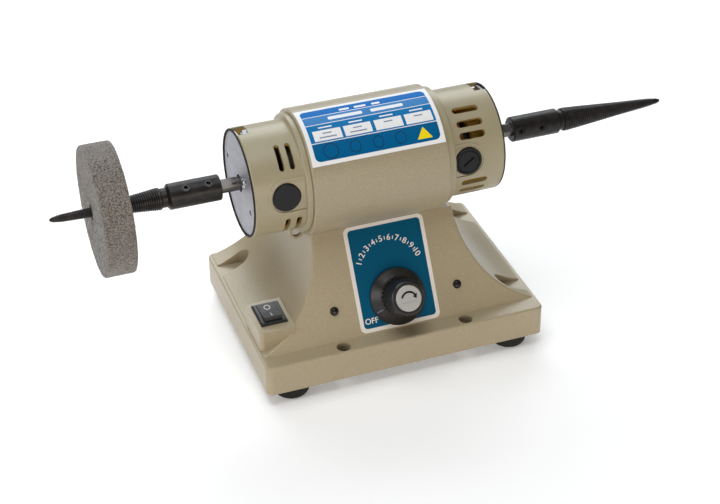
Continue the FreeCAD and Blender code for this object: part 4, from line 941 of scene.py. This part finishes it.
ring = flat_shape("rocker_ring", [arc_points(1.95, 0, 350, 35), arc_points(1.45, 0, 350, 35)],
                  film_white)
ring.transform(Matrix.Diagonal((1.0, 1.2, 1.0, 1.0)))
keep_piece("rocker_ring", ring, "switch_rocker", on_rocker(1))
stroke = flat_shape("rocker_bar", [rounded_outline(-0.26, -2.1, 0.26, 2.1, 0.1, 3)], film_white)
keep_piece("rocker_bar", stroke, "switch_rocker", on_rocker(-1))

# %% [markdown]
# ## The printed plate on the barrel
# This plate is bent round the barrel, so its print has to bend with it. A flat print would need
# cutting up first. It is easier to build each colour field in rows that run along the barrel:
# every row is straight, only the rows step round the curve, and rounded corners or a triangle
# are rows of different length. Words and symbols are replaced by plain bars, rings and blocks.

# %% A print bent round the barrel
PLATE_RADIUS = 37.37
ROW = 1.2


def bent_print(name, rows, lift, material):
    """rows holds (angle, left, right): angle 0 faces front and 90 up, the rest in millimetres."""
    points = []
    for angle, left, right in rows:
        for radius in (PLATE_RADIUS + lift, PLATE_RADIUS - 0.02):
            y = spindle_at.y - radius * MM * math.cos(math.radians(angle))
            z = spindle_at.z + radius * MM * math.sin(math.radians(angle))
            points += [(left * MM, y, z), (right * MM, y, z)]
    faces = [(0, 1, 3, 2)]
    for row in range(len(rows) - 1):
        a, b = 4 * row, 4 * row + 4
        faces += [(a, b, b + 1, a + 1), (a + 2, a + 3, b + 3, b + 2),
                  (a, a + 2, b + 2, b), (a + 1, b + 1, b + 3, a + 3)]
    a = 4 * (len(rows) - 1)
    faces.append((a, a + 2, a + 3, a + 1))
    mesh = bpy.data.meshes.new(name)
    mesh.from_pydata(points, [], faces)
    mesh.validate()
    mesh.materials.append(material)
    return mesh


def field_rows(low, high, left, right, low_corner=0.0, high_corner=0.0):
    """Rows of a field between two angles, with its lower or upper corners rounded."""
    a_degree = math.radians(1) * PLATE_RADIUS
    height = (high - low) * a_degree
    steps = sorted({height * k / max(1, round(height / ROW))
                    for k in range(max(1, round(height / ROW)) + 1)}
                   | {low_corner * (1 - math.cos(math.radians(k * 15))) for k in range(7)}
                   | {height - high_corner * (1 - math.cos(math.radians(k * 15)))
                      for k in range(7)})
    rows = []
    for at in steps:
        inset = 0.0
        for corner, depth in ((low_corner, at), (high_corner, height - at)):
            if corner > depth:
                inset = corner - math.sqrt(max(0.0, corner ** 2 - (corner - depth) ** 2))
        rows.append((low + at / a_degree, left + inset, right - inset))
    return rows


def disc_rows(centre_angle, centre_x, radius, flat=1.0):
    """Rows of a round spot of that radius in millimetres."""
    a_degree = math.radians(1) * PLATE_RADIUS
    return [(centre_angle - radius * math.cos(math.radians(k * 15)) / a_degree,
             centre_x - max(0.02, radius * math.sin(math.radians(k * 15)) * flat),
             centre_x + max(0.02, radius * math.sin(math.radians(k * 15)) * flat))
            for k in range(13)]


def plate_print(name, rows, lift, material):
    return keep_piece(name, bent_print(name, rows, lift, material), "machine")


# %% The four blue bands
FIELD_LEFT, FIELD_RIGHT = -41.4, 33.3
bands = [("top", 82.0, 90.5, band_top_blue, 0.0, 3.0),
         ("second", 71.8, 81.2, band_middle_blue, 0.0, 0.0),
         ("third", 53.4, 71.0, band_lower_blue, 0.0, 0.0),
         ("bottom", 36.6, 52.6, band_bottom_blue, 3.2, 0.0)]
for label, low, high, material, low_corner, high_corner in bands:
    plate_print(f"plate_band_{label}", field_rows(low, high, FIELD_LEFT, FIELD_RIGHT, low_corner,
                                                  high_corner), 0.03, material)

# %% White boxes, bars in place of words, and plain marks
boxes = [(-38.9, -22.4), (-20.7, -4.6), (-2.5, 13.9), (15.7, 31.9)]
for index, (left, right) in enumerate(boxes):
    centre = (left + right) / 2
    plate_print(f"plate_box_{index}", field_rows(54.6, 64.8, left, right), 0.05, plate_white)
    plate_print(f"plate_caption_{index}", field_rows(66.9, 68.3, centre - 4, centre + 4), 0.05,
                plate_white)
    plate_print(f"plate_value_{index}", field_rows(60.9, 62.1, centre - 2.6, centre + 2.6), 0.065,
                mark_grey)
    if index < 2:
        plate_print(f"plate_value_low_{index}", field_rows(57.0, 58.2, centre - 5, centre + 5),
                    0.065, mark_grey)
for index, (left, right) in enumerate([(-18.5, -12.5), (-9.5, -2.5), (1.0, 6.0)]):
    plate_print(f"plate_title_{index}", field_rows(83.6, 86.2, left, right, 0.5, 0.5), 0.05,
                plate_white)
for index, (left, right) in enumerate([(-27.0, -6.5), (-1.5, 18.0)]):
    plate_print(f"plate_line_{index}", field_rows(74.6, 78.4, left, right, 0.9, 0.9), 0.05,
                plate_white)
for index, x in enumerate([-31.5, -16.9, -3.2, 10.0]):
    radius, waist = ((4.4, 1.0), (3.6, 0.86), (3.6, 0.86), (3.6, 0.9))[index]
    plate_print(f"plate_ring_{index}", disc_rows(44.4, x, radius, waist), 0.05, mark_black)
    plate_print(f"plate_ring_inside_{index}", disc_rows(44.4, x, radius - 0.32, waist), 0.065,
                band_bottom_blue)
triangle = [(39.4 + 10.4 * k / 6, 24.05 - 4.5 * (1 - k / 6) - 0.1, 24.05 + 4.5 * (1 - k / 6) + 0.1)
            for k in range(7)]
plate_print("plate_triangle", triangle, 0.05, mark_yellow)

# %% [markdown]
# ## A black ring for the shadow round each end disc
# A thin black ring fills the gap between the metal disc and the moulded rim. It is a painted
# shadow: a dark piece set where the gap only holds shade. It is a turned section with a rounded
# lip, and it shows as the dark line round the disc.

# %% Turn the two rings
for label, node, way in (("left", "left_end_plate", -1), ("right", "right_end_plate", 1)):
    disc_low, disc_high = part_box(node)
    face = disc_low.x if way < 0 else disc_high.x
    radius = (disc_high.z - disc_low.z) / 2 / MM
    lip = [(radius + 0.05, -0.4), (radius + 0.45, -0.4), (radius + 0.45, 0.02),
           (radius + 1.3, 0.02), (radius + 1.4, 0.3), (radius + 1.2, 0.7), (radius + 0.2, 0.8),
           (radius - 0.1, 0.5), (radius - 0.1, 0.03), (radius + 0.05, 0.02)]
    # painted shadow: a black ring set in the gap round each disc in place of its shade
    mesh = turned_mesh(f"{label}_disc_shadow_ring", [(r * MM, z * MM) for r, z in lip], 180)
    mesh.materials.append(foot_rubber)
    keep_piece(f"{label}_disc_shadow_ring", mesh, "machine", on_spindle(face, way))
